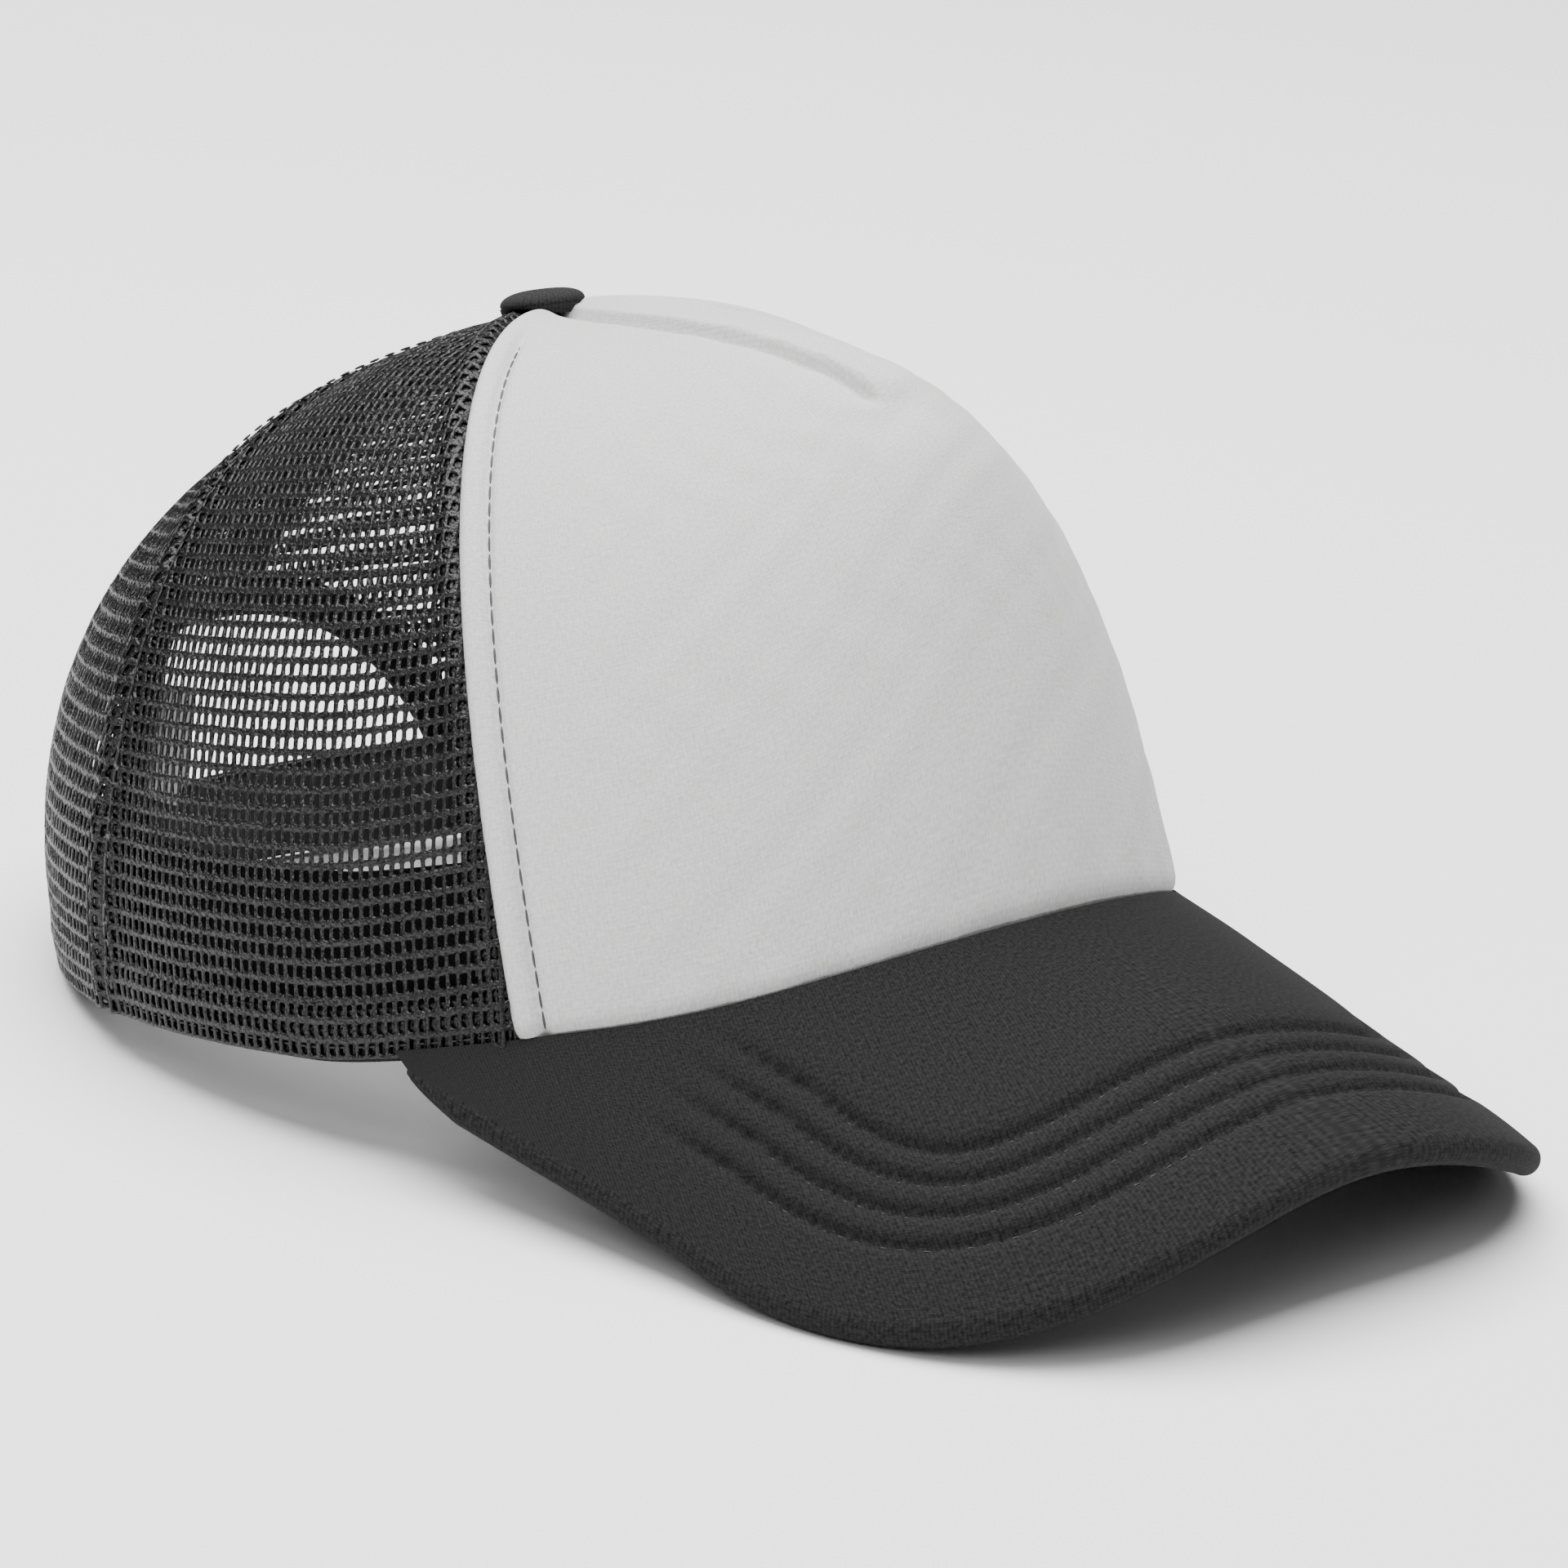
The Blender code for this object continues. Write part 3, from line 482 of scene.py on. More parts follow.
def net_shape(near, far, layer, keep):
    """One layer of net between two seams, each a function from rise to angle.

    The net is cut, holed and frayed flat, with one unit to a cell, and is then laid on the crown.
    keep(height, from_near, from_far, place) tells which cells the layer holds.
    """
    rises = np.linspace(0.0, top_rise, 160)
    middle = (near(rises) + far(rises)) / 2
    up = arc_length(crown_skin(middle, rises))
    shares = np.linspace(0, 1, 40)[:, None]
    reach = [
        arc_length(crown_skin(middle + (seam(rises) - middle) * shares, rises))[-1]
        for seam in (near, far)
    ]
    rows = int(up[-1] / mesh_pitch_up)
    left, right = (int(side.max() / mesh_pitch_across) + 2 for side in reach)
    net = bmesh.new()
    bmesh.ops.create_grid(net, x_segments=left + right, y_segments=rows, size=0.5)
    flat = np.array([vertex.co.xy for vertex in net.verts]) + 0.5
    column = flat[:, 0] * (left + right) - left + 0.5 * layer
    row = flat[:, 1] * rows
    row += np.where((row > 0.5) & (row < rows - 0.5), 0.5 * layer, 0)
    heights = row / rows * up[-1]
    low, high = (np.interp(heights, up, side) / mesh_pitch_across for side in reach)
    for vertex, x, y in zip(net.verts, np.clip(column, -low, high), row):
        vertex.co = (x, y, 0)

    def lay(x, y):
        """Angle, rise, height and both seam distances of points of the flat net."""
        height = y / rows * up[-1]
        rise = np.interp(height, up, rises)
        from_middle = x * mesh_pitch_across
        to_near, to_far = (np.interp(height, up, side) for side in reach)
        inner = np.interp(height, up, middle)
        share = from_middle / np.where(from_middle < 0, to_near, to_far)
        span = np.where(from_middle < 0, inner - near(rise), far(rise) - inner)
        return inner + share * span, rise, height, to_near + from_middle, to_far - from_middle

    centres = np.array([face.calc_center_median() for face in net.faces])
    sizes = np.array([face.calc_area() for face in net.faces])
    angle, rise, height, from_near, from_far = lay(centres[:, 0], centres[:, 1])
    held = (sizes > 0.1) & keep(height, from_near, from_far, crown_skin(angle, rise))
    gone = [face for face, kept in zip(net.faces, held) if not kept]
    bmesh.ops.delete(net, geom=gone, context="FACES")
    cells = [face for face in net.faces if face.calc_area() > 0.45]
    bmesh.ops.inset_individual(net, faces=cells, thickness=thread_share, use_even_offset=True)
    corners = set()
    for face in cells:
        face.material_index = 1
        corners.update(face.verts)
    bmesh.ops.bevel(
        net,
        geom=list(corners),
        offset=corner_share,
        offset_type="OFFSET",
        segments=1,
        profile=0.5,
        affect="VERTICES",
        material=-1,
    )
    holes = [face for face in net.faces if face.material_index == 1 and len(face.verts) > 4]
    for face in holes:
        for vertex in face.verts:
            vertex.co.z = 1
    bmesh.ops.delete(net, geom=holes, context="FACES")
    for face in net.faces:
        face.material_index = 0
    flat = np.array([vertex.co for vertex in net.verts])
    draw = np.random.default_rng(11 + layer)
    flat[:, :2] += draw.normal(0, yarn_shift, (len(flat), 2)) * flat[:, 2:]
    angle, rise, height, from_near, from_far = lay(flat[:, 0], flat[:, 1])
    depth = yarn_lift * flat[:, 2] + net_layer_gap * layer + yarn_fuzz * draw.normal(0, 1, len(flat))
    depth -= seam_relief(height, from_near, from_far)
    for vertex, point in zip(net.verts, crown(angle, rise, depth)):
        vertex.co = point
    return net


def net_yarn():
    """Shiny black polyester yarn, knitted so tightly that its loops show as fine ribs. The raised loops
    are coloured lighter, as painted highlights.
    """
    yarn = Nodes("black_polyester_net", (0.004, 0.004, 0.004), 0.34)
    where = yarn.place("object")
    loops = yarn.noise(where, 1300.0, 2.0)
    yarn.relief(loops, 0.0005, 1.0)
    # Painted highlight: the same noise that raises the loops also makes them lighter in colour.
    yarn.colour(yarn.mix_colour(loops, (0.0005, 0.0005, 0.0005), (0.006, 0.006, 0.006)))
    yarn.shader.inputs["Specular IOR Level"].default_value = 0.38
    return yarn.material


def whole_panel(height, from_near, from_far, place):
    outside = ~arch_inside(place[:, 0], place[:, 2], binding_width * 0.45)
    return outside | (place[:, 1] < 0)


def turned_in(height, from_near, from_far, place):
    edge = (height < hem_turning) | (from_near < seam_turning) | (from_far < seam_turning)
    return edge & whole_panel(height, from_near, from_far, place)


net_cloth = net_yarn()
panels = {
    "side": (front_seam, side_seam, (0.092, 0.158), 0.00986),
    "back": (side_seam, centre_back, (0.118, 0.155), 0.00917),
}
for side, sign in (("right", -1), ("left", 1)):
    for stem, (near, far, cut_size, cut_area) in panels.items():
        first, last = (near, far)[::sign]
        nets = [
            net_shape(
                lambda rise, edge=first: sign * edge(rise),
                lambda rise, edge=last: sign * edge(rise),
                layer,
                zone,
            )
            for layer, zone in enumerate((whole_panel, turned_in))
        ]
        name = "net_" + stem + "_" + side
        panel = finish_piece(name, nets[0], net_cloth)
        turning = finish_piece(name + "_turning", nets[1], net_cloth)
        for piece in (panel, turning):
            thicken(piece, net_thickness)
        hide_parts("mesh_" + stem + "_" + side)


# Brim's top cover. Jersey over a thin pad, quilted with four rows of stitches that run parallel to the
# rim. It rolls over the rim and ends in a narrow lip underneath.

brim_half_width = 0.0822
brim_widest = 0.0957
brim_reach = 0.0727
brim_side_power = 0.68
brim_front_power = 0.90
brim_front_share = 0.7
brim_end_width = 0.006
brim_end_splay = 0.0042
brim_gap = 0.0024
roll_radius = 0.003
lip_width = 0.003
rim_droop = 0.0010
rim_droop_width = 0.013
closing_share = 0.06
quilt_rows = (0.0168, 0.0228, 0.0288, 0.0348)
quilt_pitch = 0.0034
quilt_depth = 0.0015
quilt_width = 0.0013
quilt_back = 0.078
quilt_fade = 0.02
plump_height = 0.0005
cover_face_rows = 156
cover_roll_rows = 16
cover_lip_rows = 6


def brim_normal(x):
    return unit(np.stack([x / brim_bend, np.full_like(x, -brim_slope), np.ones_like(x)], axis=-1))


def brim_inner(across, gap):
    """The brim's inner edge in plan, a gap outside the crown's skin."""
    angle = across * brim_end_angle
    x, y, _ = hem_at(angle)
    return crown_local(angle, rise_at(angle, brim_height(x, y)), -gap)[..., :2]


def brim_outline(across):
    """The rim in plan, for across from -1 (wearer's right) to 1."""
    turn = np.clip(across / brim_front_share, -1, 1) * math.pi / 2
    x = np.copysign(np.abs(np.sin(turn)) ** brim_side_power, across) * brim_half_width
    y = -brim_widest - brim_reach * np.maximum(np.cos(turn), 0) ** brim_front_power
    front = np.stack([x, y], axis=-1)
    outward = np.copysign(brim_end_splay, across)
    end = brim_inner(np.copysign(1.0, across), brim_gap)
    end = end + np.stack([outward, np.full_like(across, -brim_end_width)], axis=-1)
    straight = np.clip((np.abs(across) - brim_front_share) / (1 - brim_front_share), 0, 1)
    return front + (end - front) * straight[..., None]


def brim_rim(across, inset):
    """The rim in plan, moved inwards by the inset."""
    step = 0.01
    ahead = brim_outline(np.minimum(across + step, 1))
    along = ahead - brim_outline(np.maximum(across - step, -1))
    return brim_outline(across) + unit(np.stack([-along[..., 1], along[..., 0]], axis=-1)) * inset


def brim_face(across, out, inset, depth, gap=brim_gap):
    """A point of the brim from its inner edge (out 0) to its rim (out 1), below its upper face.

    The ends of the inner edge come down to the hem.
    """
    across, out, depth = np.broadcast_arrays(across, out, depth)
    plan = brim_inner(across, gap)
    plan = plan + (brim_rim(across, inset) - plan) * out[..., None]
    plan = plan + brim_normal(plan[..., 0])[..., :2] * (depth * (1 - out))[..., None]
    height = brim_height(plan[..., 0], plan[..., 1])
    x, y, hem = hem_at(across * brim_end_angle)
    height = height - np.maximum(brim_height(x, y) - hem - panel_overlap, 0) * (1 - out)
    face = np.concatenate([plan, height[..., None]], axis=-1)
    return face - brim_normal(plan[..., 0]) * depth[..., None]


rim_line = brim_face(np.linspace(-1, 1, 500), 1.0, 0.0, 0.0)
rim_along = arc_length(rim_line)


def rim_distance(points):
    """Distance from the rim, and the place along the rim that is nearest."""
    found = []
    for part in np.array_split(points, max(len(points) // 2000, 1)):
        away = np.linalg.norm(part[:, None] - rim_line, axis=-1)
        nearest = away.argmin(axis=1)
        found.append(np.stack([away.min(axis=1), rim_along[nearest]], axis=-1))
    return np.concatenate(found).T


def quilt_sink(points):
    """How far the stitched rows pull the cover down."""
    away, along = rim_distance(points)
    near = bump(away - quilt_rows[0], quilt_width)
    for row in quilt_rows[1:]:
        near = np.maximum(near, bump(away - row, quilt_width))
    pucker = 0.82 + 0.18 * np.cos(along * math.tau / quilt_pitch)
    fade = smooth((-quilt_back - points[:, 1]) / quilt_fade)
    plump = plump_height * smooth((away - quilt_rows[-1]) / 0.006) * fade
    return quilt_depth * near * pucker * fade - plump


def cover_skin(u, v):
    """The cover from its inner edge (v 1) over the rim's roll to the end of the lip (v 0)."""
    across = 2 * u - 1
    row = (1 - v) * (cover_face_rows + cover_roll_rows + cover_lip_rows)
    out = np.clip(row / cover_face_rows, 0, 1)
    turn = np.clip((row - cover_face_rows) / cover_roll_rows, 0, 1) * math.pi
    under = np.clip((row - cover_face_rows - cover_roll_rows) / cover_lip_rows, 0, 1) * lip_width
    face = brim_face(across, out, roll_radius, 0.0, foam_proud - 0.0004)
    further = brim_face(across, out, roll_radius * 0.9, 0.0, foam_proud - 0.0004)
    outward = further - face
    outward /= np.maximum(np.linalg.norm(outward, axis=-1, keepdims=True), 1e-9)
    normal = brim_normal(face[..., 0])
    away, _ = rim_distance(face)
    droop = rim_droop * np.clip(1 - away / rim_droop_width, 0, 1) ** 2
    closing = np.sqrt(np.clip((1.002 - np.abs(across)) / closing_share, 0.03, 1))
    radius = (roll_radius - droop / 2) * closing
    sideways = np.sin(turn) * radius - under * closing
    down = (1 - np.cos(turn)) * radius + droop + quilt_sink(face)
    return to_world(face + outward * sideways[:, None] - normal * down[:, None])


black_jersey = knit("black_jersey", (0.003, 0.003, 0.003), (0.026, 0.026, 0.0265), 0.0006)
cover_rows = cover_face_rows + cover_roll_rows + cover_lip_rows
cover = finish_piece(
    "brim_quilted_cover",
    grid_shape(400, cover_rows, cover_skin, (0.25, 0.085)),
    black_jersey,
)
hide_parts("brim_top_cover")


# Quilting thread of the brim. Black lockstitches lie at the bottom of each groove and end where the
# brim meets the crown.

quilt_stitch = 0.0024
quilt_thread_radius = 0.0002

black_thread = thread("black_sewing_thread", (0.005, 0.005, 0.005))
across = np.linspace(-0.72, 0.72, 420)
for index, row in enumerate(quilt_rows):
    low = np.zeros_like(across)
    high = np.ones_like(across)
    for _ in range(16):
        middle = (low + high) / 2
        outside = rim_distance(brim_face(across, middle, roll_radius, 0.0, foam_proud))[0] < row
        high = np.where(outside, middle, high)
        low = np.where(outside, low, middle)
    line = brim_face(across, middle, roll_radius, quilt_depth - 0.0001, foam_proud)
    line = line[(line[:, 1] < -0.088) & (middle > 0.03)]
    stitches = stitch_row(
        "quilting_row_" + str(index + 1),
        to_world(line),
        quilt_stitch,
        quilt_pitch,
        quilt_thread_radius,
        black_thread,
    )


# Brim board. The stiff grey plastic plate that gives the brim its curve is hidden between its two
# covers, so it keeps the shape of the CAD model under a slightly rough plastic.

board = Nodes("grey_polyethylene", (0.22, 0.22, 0.22), 0.55)
board.relief(board.noise(board.place("object"), 220.0, 3.0), 0.0002, 0.3)
frame["nodes"]["brim_board"].material_slots[0].material = board.material


# Brim's under cover. A flat piece of the same jersey, tucked in behind the lip of the top cover.
# Towards the brim's ends it closes up to the top cover, where both are sewn into the hem.

under_depth = 0.0048
under_thickness = 0.0010
under_inset = 0.0034
under_reach = 0.955
under_taper = 0.15


def under_skin(u, v):
    across = (2 * u - 1) * under_reach
    closing = np.clip((1 - np.abs(across)) / under_taper, 0.1, 1)
    return to_world(brim_face(across, 1 - v, under_inset, under_depth * closing))


under = finish_piece("brim_lining", grid_shape(150, 50, under_skin, (0.25, 0.085)), black_jersey)
thicken(under, under_thickness)
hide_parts("brim_under_cover")


# Sweatband. A folded band of black cotton twill lines the hem from one strap to the other. Its lower
# edge is sewn to the hem, and its upper edge is loose and waves a little.

band_height = 0.0292
band_depth = 0.0057
band_hem_depth = 0.0013
band_thickness = 0.0014
strap_clear_height = 0.0028


def back_angle(x):
    return math.pi - np.arcsin(x / half_width)


def band_skin(u, v):
    angle = (2 * u - 1) * back_angle(arch_half_width + 0.0035)
    height = 0.0004 + band_height * v
    reach_out = smooth((np.abs(angle) - 0.98) / 0.06) * (band_depth - band_hem_depth)
    depth = band_depth - reach_out * smooth(1 - height / strap_clear_height)
    depth = depth + 0.0003 * np.sin(angle * 23) * v + 0.0002 * np.sin(angle * 61) * v
    place = rise_at(angle, hem_at(angle)[2] + height)
    return crown(angle, place, depth)


def twill(name, colour, pale, pitch):
    """Diagonal ribs with a little lint."""
    cloth = Nodes(name, colour, 0.9)
    where = cloth.place()
    across, along = cloth.split(where)
    rib = cloth.wave(cloth.maths("ADD", across, along), pitch)
    lint = cloth.noise(where, 1200.0, 3.0)
    rough = cloth.maths("ADD", rib, cloth.maths("MULTIPLY", lint, 0.8))
    cloth.relief(rough, pitch * 0.3, 0.5)
    cloth.colour(cloth.mix_colour(cloth.maths("MULTIPLY", rough, 0.55), colour, pale))
    cloth.shader.inputs["Specular IOR Level"].default_value = 0.15
    return cloth.material


black_twill = twill("black_cotton_twill", (0.003, 0.003, 0.003), (0.013, 0.013, 0.0135), 0.0009)
band = finish_piece("sweatband_twill", grid_shape(360, 24, band_skin, (0.5, 0.031)), black_twill)
thicken(band, band_thickness)
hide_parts("sweatband")


# Seam tapes. Woven ribbons cover the five seams inside the crown, and one covers the dart. The tapes
# of the side seams stop earlier, where they would run into the tape of the back seam.

tape_width = 0.011
tape_thickness = 0.0006
foam_back = 0.0034
mesh_back = 0.0018
tape_stop = 0.0145
side_stop = tape_width * 1.1 / (math.pi - side_seam_low - side_seam_sweep)


def ribbon(name, colour, pale):
    """A tight plain weave with ribs across it."""
    cloth = Nodes(name, colour, 0.8)
    where = cloth.place()
    across, along = cloth.split(where)
    weave = cloth.maths("MULTIPLY", cloth.wave(across, 0.0007), cloth.wave(along, 0.0006))
    cloth.relief(weave, 0.00015, 0.6)
    cloth.colour(cloth.mix_colour(weave, colour, pale))
    cloth.shader.inputs["Specular IOR Level"].default_value = 0.2
    return cloth.material


def tape_shape(seam, depth, low_rise, stop):
    """A ribbon centred on a seam, which stops short of the button."""
    low, high = 0.3, 1.0
    for _ in range(26):
        middle = (low + high) / 2
        plan = crown_skin(seam(middle), middle)[:2] - (0, button_setback)
        if math.hypot(*plan) < stop:
            high = middle
        else:
            low = middle

    def lie(u, v):
        rise = low_rise + (high - low_rise) * v
        plan = crown_skin(seam(rise), rise)[..., :2] - (0, button_setback)
        radius = np.maximum(np.linalg.norm(plan, axis=-1), tape_stop)
        curl = 0.0002 * (2 * u - 1) ** 4
        return crown(seam(rise) + (u - 0.5) * tape_width / radius, rise, depth + curl)

    return grid_shape(8, 70, lie, (tape_width, 0.12))


tape_cloth = ribbon("black_woven_tape", (0.002, 0.002, 0.002), (0.010, 0.010, 0.010))
arch_top = float(rise_at(math.pi, arch_height + binding_width + 0.0015))
tape_runs = [
    ("seam_tape_back", lambda rise: rise * 0 + math.pi, mesh_back, arch_top, tape_stop, 0.081),
    ("front_dart_tape", lambda rise: rise * 0, foam_back + 0.0006, dart_foot, tape_stop, 0.047),
]
for side, sign in (("right", -1), ("left", 1)):
    fronts = (lambda rise, sign=sign: sign * front_seam(rise), foam_back, 0.02, tape_stop, 0.137)
    sides = (lambda rise, sign=sign: sign * side_seam(rise), mesh_back, 0.02, side_stop, 0.143)
    tape_runs += [("seam_tape_front_" + side, *fronts), ("seam_tape_side_" + side, *sides)]
for node, seam, depth, low_rise, stop, tape_length in tape_runs:
    tape = finish_piece(
        node.replace("seam_tape", "ribbon").replace("_tape", "_ribbon"),
        tape_shape(seam, depth, low_rise, stop),
        tape_cloth,
    )
    thicken(tape, tape_thickness)
    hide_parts(node)


# Binding of the rear opening. A woven tape is folded over the cut edge of the mesh, all round the arch,
# and topstitched near its edge.

binding_proud = 0.0007
binding_fold = 0.0018
binding_stitch_inset = 0.0014
fold_share = 0.16


def back_place(x, height):
    """Angle and rise of the points at the back of the crown with this x and height."""
    low = np.full_like(x, math.pi / 2)
    high = np.full_like(x, math.pi)
    for _ in range(22):
        middle = (low + high) / 2
        far = crown_skin(middle, rise_at(middle, height))[..., 0] < np.abs(x)
        high = np.where(far, middle, high)
        low = np.where(far, low, middle)
    return np.copysign(middle, x), rise_at(middle, height)


def arch_point(turn, widen):
    """X and height of a point of the arch, widened all round, for a turn from one foot to the other."""
    across = np.abs(np.cos(turn)) ** arch_power
    x = np.copysign((arch_half_width + widen) * across, np.cos(turn))
    return x, (arch_height + widen) * np.sin(turn) ** arch_power


def binding_skin(u, v):
    turn = 0.04 + (math.pi - 0.08) * u
    face_share = (1 - fold_share) / 2
    round_edge = np.clip((v - face_share) / fold_share, 0, 1) * math.pi
    flat = np.where(v < 0.5, face_share - v, v - face_share - fold_share).clip(0) / face_share
    half = binding_fold / 2
    widen = half + flat * (binding_width - half) - half * np.sin(round_edge)
    x, height = arch_point(turn, widen)
    angle, rise = back_place(np.where(np.abs(x) < 1e-5, 1e-5, x), np.maximum(height, 0.0005))
    depth = half * (1 - np.cos(round_edge)) - binding_proud
    return crown(angle, rise, depth)


binding = finish_piece(
    "arch_binding_tape",
    grid_shape(170, 34, binding_skin, (0.15, 0.016)),
    tape_cloth,
)
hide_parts("arch_binding")
turn = np.linspace(0.05, math.pi - 0.05, 200)
x, height = arch_point(turn, binding_width - binding_stitch_inset)
angle, rise = back_place(np.where(np.abs(x) < 1e-5, 1e-5, x), np.maximum(height, 0.0005))
line = crown(angle, rise, -binding_proud - 0.0001)
stitches = stitch_row("binding_stitches", line, 0.0022, 0.0030, 0.0002, black_thread)


# Stitches of the mesh. Black lockstitches hold the turned hem, in one row just above it, and the
# turned edges of the side seams, in one row on each side.

net_stitch = 0.0020
net_stitch_pitch = 0.0028
net_thread_radius = 0.00022

stitch = (net_stitch, net_stitch_pitch, net_thread_radius, black_thread)
for side, sign in (("right", -1), ("left", 1)):
    angle = np.linspace(front_seam_low + 0.02, float(back_angle(arch_half_width + 0.007)), 260)
    rise = rise_at(angle, hem_at(angle)[2] + 0.0019)
    line = crown(sign * angle, rise, -0.0001)
    hem_row = stitch_row("hem_stitches_" + side, line, *stitch)
    for edge, share in (("fore", -1), ("aft", 1)):
        rise = np.linspace(0.012, 0.93, 260)
        seam = side_seam(rise)
        plan = crown_skin(seam, rise)[..., :2] - (0, button_setback)
        beside = seam + share * seam_ridge_inset / np.linalg.norm(plan, axis=-1)
        line = crown(sign * beside, rise, -0.0010)
        row = stitch_row("seam_stitches_" + edge + "_" + side, line, *stitch)


# Snap strap. Two strips of moulded plastic. One has round holes and the other has studs, and both are
# sewn inside the hem and bend where they leave it.

strap_width = 0.0165
strap_thickness = 0.0013
strap_lift = 0.0030
strap_bend = 0.090
strap_spacing = 0.0018
hinge_inset = 0.0060
strap_settle = 0.0020
anchor_length = 0.013
snap_pitch = 0.0096
snap_count = 6
snaps_fastened = 5
snap_end = 0.0068
hole_radius = 0.0030
tip_half_width = 0.0028
strap_edge_radius = 0.00025
strap_outer_depth = 0.0018
hinge_angle = float(back_angle(arch_half_width - hinge_inset))
strap_root = crown_local(hinge_angle, 0.0, strap_outer_depth + strap_thickness / 2)
strap_lean = math.asin(strap_root[0] / strap_bend)
strap_centre = strap_root[1] - strap_bend * math.cos(strap_lean)


def snap_places(radius):
    """Distances of the snaps from the hinge, from the tip backwards."""
    pitch = snap_pitch * radius / strap_bend
    tip = strap_lean * radius + pitch * (snaps_fastened - 1) / 2
    return [tip - pitch * index for index in range(snap_count)]


def bend_strap(flat, sign, radius, layer_depth):
    """Bend flat strap points (along, height, outwards) to the crown and to the strap's arc."""
    along, height, out = flat.T
    turn = strap_lean - np.maximum(along, 0) / radius
    arm = radius + strap_thickness / 2 + out
    free = np.stack([arm * np.sin(turn), strap_centre + arm * np.cos(turn)], axis=-1)
    hem_x = arch_half_width - hinge_inset - np.minimum(along, 0)
    past_foot = arch_half_width + strap_settle - hem_x
    upright = smooth(past_foot / (hinge_inset + strap_settle))
    angle = back_angle(hem_x)
    rise = rise_at(angle, strap_lift + height) * (1 - upright)
    sewn = crown_local(angle, rise, layer_depth - out)[:, :2]
    plan = np.where((along > 0)[:, None], free, sewn)
    place = np.stack([sign * plan[:, 0], plan[:, 1], strap_lift + height], axis=-1)
    return to_world(place)


def strap_slab(length):
    """The flat strip with a round tip, its upper face in Z = 0."""
    slab = bmesh.new()
    bmesh.ops.create_grid(slab, x_segments=150, y_segments=12, size=0.5)
    start = -(hinge_inset + anchor_length)
    for vertex in slab.verts:
        along = start + (length - start) * (vertex.co.x + 0.5)
        past = max(along - (length - strap_width / 2), 0)
        half = math.sqrt(max((strap_width / 2) ** 2 - past**2, tip_half_width**2))
        vertex.co = (along, strap_width / 2 + 2 * vertex.co.y * half, 0)
    grown = bmesh.ops.extrude_face_region(slab, geom=slab.faces[:])
    low = [part for part in grown["geom"] if isinstance(part, bmesh.types.BMVert)]
    bmesh.ops.translate(slab, verts=low, vec=(0, 0, -strap_thickness))
    bmesh.ops.recalc_face_normals(slab, faces=slab.faces)
    edges = [edge for edge in slab.edges if edge.calc_face_angle(0) > 1.0]
    bmesh.ops.bevel(
        slab,
        geom=edges,
        offset=strap_edge_radius,
        segments=2,
        profile=0.5,
        affect="EDGES",
        material=-1,
    )
    return slab


def punch(slab, places):
    """Cut round holes through the flat strip."""
    pins = bmesh.new()
    for along in places:
        bmesh.ops.create_cone(
            pins,
            cap_ends=True,
            segments=32,
            radius1=hole_radius,
            radius2=hole_radius,
            depth=0.01,
            matrix=Matrix.Translation((along, strap_width / 2, 0)),
        )
    tools = []
    for name, shape in (("strap_blank", slab), ("strap_pins", pins)):
        mesh = bpy.data.meshes.new(name)
        shape.to_mesh(mesh)
        shape.free()
        tools.append(bpy.data.objects.new(name, mesh))
        bpy.context.scene.collection.objects.link(tools[-1])
    cut = tools[0].modifiers.new("cut", "BOOLEAN")
    cut.operation = "DIFFERENCE"
    cut.solver = "EXACT"
    cut.object = tools[1]
    graph = bpy.context.evaluated_depsgraph_get()
    punched = bmesh.new()
    punched.from_mesh(tools[0].evaluated_get(graph).to_mesh())
    for tool in tools:
        bpy.data.objects.remove(tool, do_unlink=True)
    return punched


def add_studs(slab, places):
    """Round studs with swollen heads. The outline gives radius and height in millimetres."""
    outline = ((1.8, -0.3), (1.75, 1.3), (2.1, 1.6), (2.15, 1.9), (1.9, 2.25), (1.2, 2.4), (0, 2.42))
    knob = bmesh.new()
    points = [knob.verts.new((radius / 1000, 0, level / 1000)) for radius, level in outline]
    edges = [knob.edges.new(pair) for pair in zip(points, points[1:])]
    bmesh.ops.spin(
        knob,
        geom=points + edges,
        axis=(0, 0, 1),
        cent=(0, 0, 0),
        angle=math.tau,
        steps=20,
        use_merge=True,
    )
    bmesh.ops.remove_doubles(knob, verts=knob.verts, dist=0.00001)
    bmesh.ops.recalc_face_normals(knob, faces=knob.faces)
    mesh = bpy.data.meshes.new("stud")
    knob.to_mesh(mesh)
    knob.free()
    for along in places:
        move = Matrix.Translation((along, strap_width / 2, 0))
        mesh.transform(move)
        slab.from_mesh(mesh)
        mesh.transform(move.inverted())


def moulded(name, colour, roughness):
    plastic = Nodes(name, colour, roughness)
    plastic.relief(plastic.noise(plastic.place("object"), 700.0, 2.0), 0.0001, 0.25)
    return plastic.material


strap_plastic = moulded("black_strap_plastic", (0.006, 0.006, 0.006), 0.4)
for name, sign, outer in (("hole", -1, True), ("stud", 1, False)):
    radius = strap_bend if outer else strap_bend - strap_spacing
    depth = strap_outer_depth if outer else strap_outer_depth + strap_spacing
    places = snap_places(radius)
    strip = strap_slab(places[0] + snap_end)
    if outer:
        strip = punch(strip, places)
    else:
        add_studs(strip, places)
    flat = np.array([vertex.co for vertex in strip.verts])
    for vertex, point in zip(strip.verts, bend_strap(flat, sign, radius, depth)):
        vertex.co = point
    if sign > 0:
        bmesh.ops.reverse_faces(strip, faces=strip.faces)
    strap = finish_piece("snap_strap_" + name + "s", strip, strap_plastic, None)
    strap.data.set_sharp_from_angle(angle=math.radians(35))
    ends = np.array([(-0.0015, strap_width / 2, 0), (0.0035, strap_width / 2, 0)])
    bends_from, bends_to = bend_strap(ends, sign, radius, depth)
    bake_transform(strap)
    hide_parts(name + "_strap", name + "_strap_anchor")
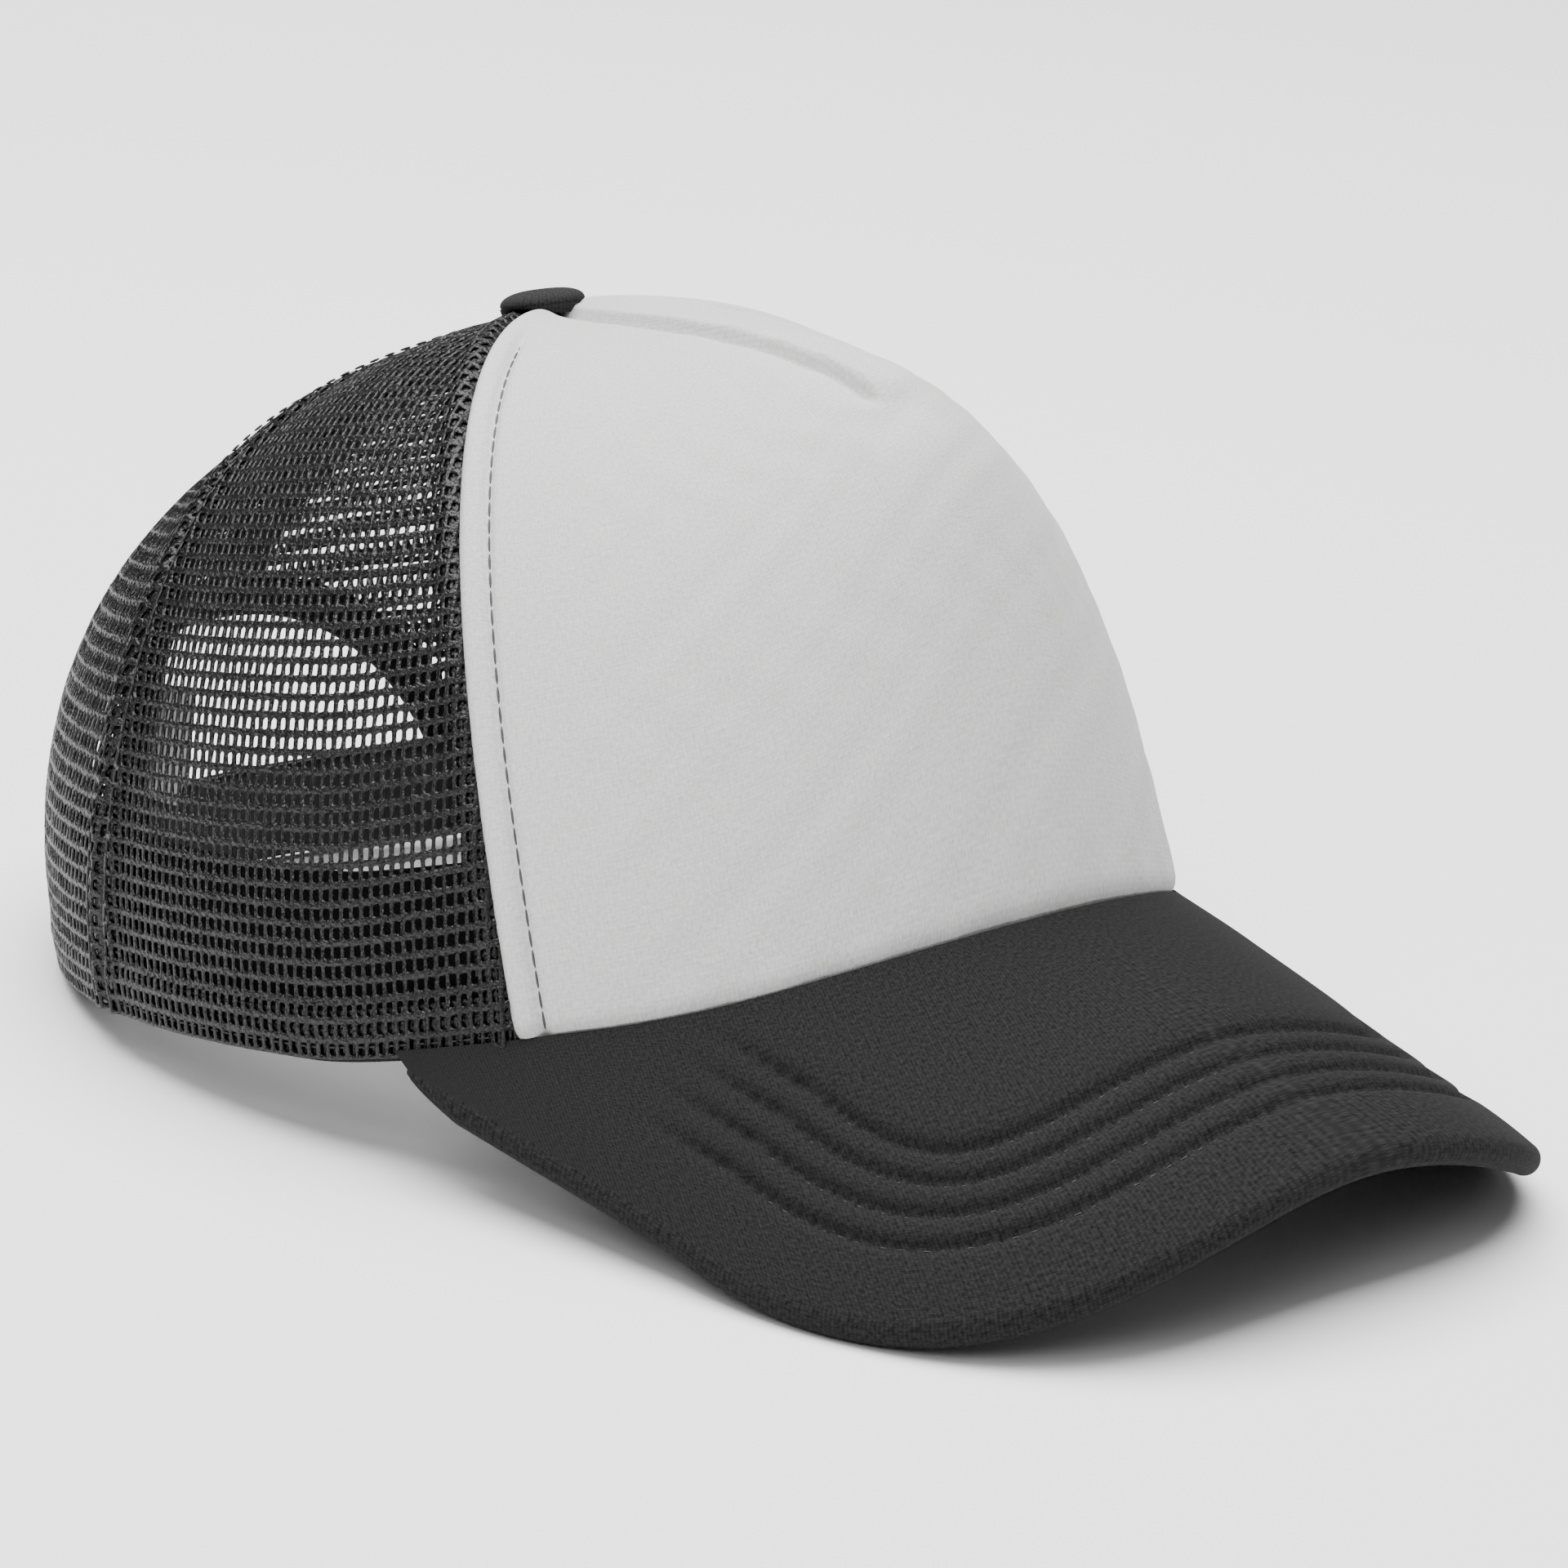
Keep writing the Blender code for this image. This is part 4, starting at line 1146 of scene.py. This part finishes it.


# Button. A metal shell covered with the brim's jersey, pressed down over the crown's top until its skirt
# follows the crown. Its jersey is a lighter copy of the brim's, and the extra lightness is painted
# sheen. The washer and the rivet that hold it are plain steel.

button_radius = 0.0072
button_top = 0.1113
button_tilt = 0.11
button_edge = 0.28
button_drop = 0.0024


def crown_top_height(angle, radius):
    """Height of the crown's skin at a distance from the button's axis."""
    low = np.full_like(angle, 0.6)
    high = np.full_like(angle, 1.0)
    for _ in range(22):
        middle = (low + high) / 2
        place = crown_skin(angle, middle)
        near = np.hypot(place[..., 0], place[..., 1] - button_setback) < radius
        high = np.where(near, middle, high)
        low = np.where(near, low, middle)
    return place[..., 2]


def button_skin(u, v):
    """The cover, round the button by u, and from the skirt's foot (v 0) to the middle of the top."""
    angle = u * math.tau
    folded = np.where(angle > math.pi, math.tau - angle, angle)
    skirt = crown_top_height(folded, button_radius * 0.96) + foam_proud + 0.0001
    turn = np.clip((1 - v) / (1 - button_edge), 0, 1) * math.pi / 2
    radius = button_radius * np.sin(turn) ** 0.72
    drop = button_drop * (1 - np.cos(turn) ** 0.9)
    tilt = button_tilt * radius * np.cos(angle)
    below = np.clip((button_edge - v) / button_edge, 0, 1)
    top = button_top - drop + tilt
    height = top + (skirt - top) * below
    radius = radius - 0.0006 * below**2 - 0.0002 * bump(below - 0.12, 0.08)
    local = np.stack(
        [radius * np.sin(angle), button_setback - radius * np.cos(angle), height], axis=-1
    )
    return to_world(local)


shell = grid_shape(72, 40, button_skin, (0.045, 0.018))
bmesh.ops.remove_doubles(shell, verts=shell.verts, dist=0.00001)
# Painted sheen: the same black jersey as the brim, made lighter all over.
button_cloth_with_painted_sheen = knit("button_cloth_with_painted_sheen", (0.008, 0.008, 0.008), (0.044, 0.044, 0.0445), 0.0007)
shell = finish_piece("button_cover", shell, button_cloth_with_painted_sheen)
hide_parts("button_cap")

steel = Nodes("plated_steel", (0.55, 0.55, 0.56), 0.3)
steel.shader.inputs["Metallic"].default_value = 1.0
steel.relief(steel.noise(steel.place("object"), 900.0, 2.0), 0.00005, 0.3)
for name in ("button_washer", "button_rivet"):
    frame["nodes"][name].material_slots[0].material = steel.material


# Care label. A small blank satin label, sewn in under the tape of the wearer's right side seam. Its free
# end curls slightly away from the mesh.

label_bottom = 0.036
label_height = 0.018
label_length = 0.013
label_depth = 0.0033
label_thickness = 0.0003


def label_skin(u, v):
    height = label_bottom + label_height * v
    start = side_seam(rise_at(side_seam_low, height))
    angle = label_length / half_width * u - start
    curl = 0.0015 * u + 0.0008 * u * u * np.sin(v * math.pi)
    return crown(angle, rise_at(angle, height), label_depth + curl)


def satin(name, colour):
    cloth = Nodes(name, colour, 0.45)
    _, along = cloth.split(cloth.place())
    cloth.relief(cloth.wave(along, 0.0004), 0.00005, 0.4)
    cloth.shader.inputs["Sheen Weight"].default_value = 0.2
    return cloth.material


label = finish_piece(
    "blank_care_label",
    grid_shape(20, 24, label_skin, (label_length, label_height)),
    satin("white_satin", (0.7, 0.7, 0.69)),
)
thicken(label, label_thickness)
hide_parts("care_label")


# Stage. A pale floor under soft studio light: a wide lamp overhead, a key lamp from the wearer's right
# and a weak fill in front of the brim.

ground = bmesh.new()
bmesh.ops.create_grid(ground, x_segments=1, y_segments=1, size=6)
floor = finish_piece("floor", ground, Nodes("pale_floor", (0.95, 0.95, 0.95), 0.9).material, None)

world = bpy.data.worlds.new("studio")
bpy.context.scene.world = world
world.use_nodes = True
world.node_tree.nodes["Background"].inputs["Color"].default_value = (1, 1, 1, 1)
world.node_tree.nodes["Background"].inputs["Strength"].default_value = 0.12


def softbox(name, place, aim, size, power):
    light = bpy.data.lights.new(name, "AREA")
    light.shape = "SQUARE"
    light.size = size
    light.energy = power
    lamp = bpy.data.objects.new(name, light)
    bpy.context.scene.collection.objects.link(lamp)
    lamp.location = place
    lamp.rotation_euler = (Vector(aim) - Vector(place)).to_track_quat("-Z", "Y").to_euler()


softbox("overhead", (0.0, 0.3, 2.2), (0, 0, 0), 2.6, 190)
softbox("key", (-1.2, -0.5, 1.0), (0, 0, 0.05), 0.8, 9)
softbox("fill", (0.9, -1.3, 0.7), (0, 0, 0.05), 1.2, 2)

view_azimuth = math.radians(-43.94)
view_elevation = math.radians(10.15)
view_roll = math.radians(-2.04)
view_distance = 1.0316
view_lens = 143.46
view_shift = (0.0505, -0.0534)
aim_at = np.array((0.0, -0.025, 0.045))

right = np.array((math.cos(view_azimuth), math.sin(view_azimuth), 0.0))
back = np.cross(right, (0, 0, 1)) * math.cos(view_elevation) + (0, 0, math.sin(view_elevation))
up = np.cross(back, right)
right, up = (
    math.cos(view_roll) * right + math.sin(view_roll) * up,
    math.cos(view_roll) * up - math.sin(view_roll) * right,
)
camera_data = bpy.data.cameras.new("camera")
camera_data.sensor_width = 36
camera_data.lens = view_lens
camera_data.clip_start = 0.05
camera_data.shift_x, camera_data.shift_y = view_shift
camera = bpy.data.objects.new("camera", camera_data)
bpy.context.scene.collection.objects.link(camera)
bpy.context.scene.camera = camera
axes = np.array((right, up, back)) @ cap_turn
place = to_world(aim_at + back * view_distance)
camera.matrix_world = Matrix.Translation(place) @ Matrix(axes.T.tolist()).to_4x4()
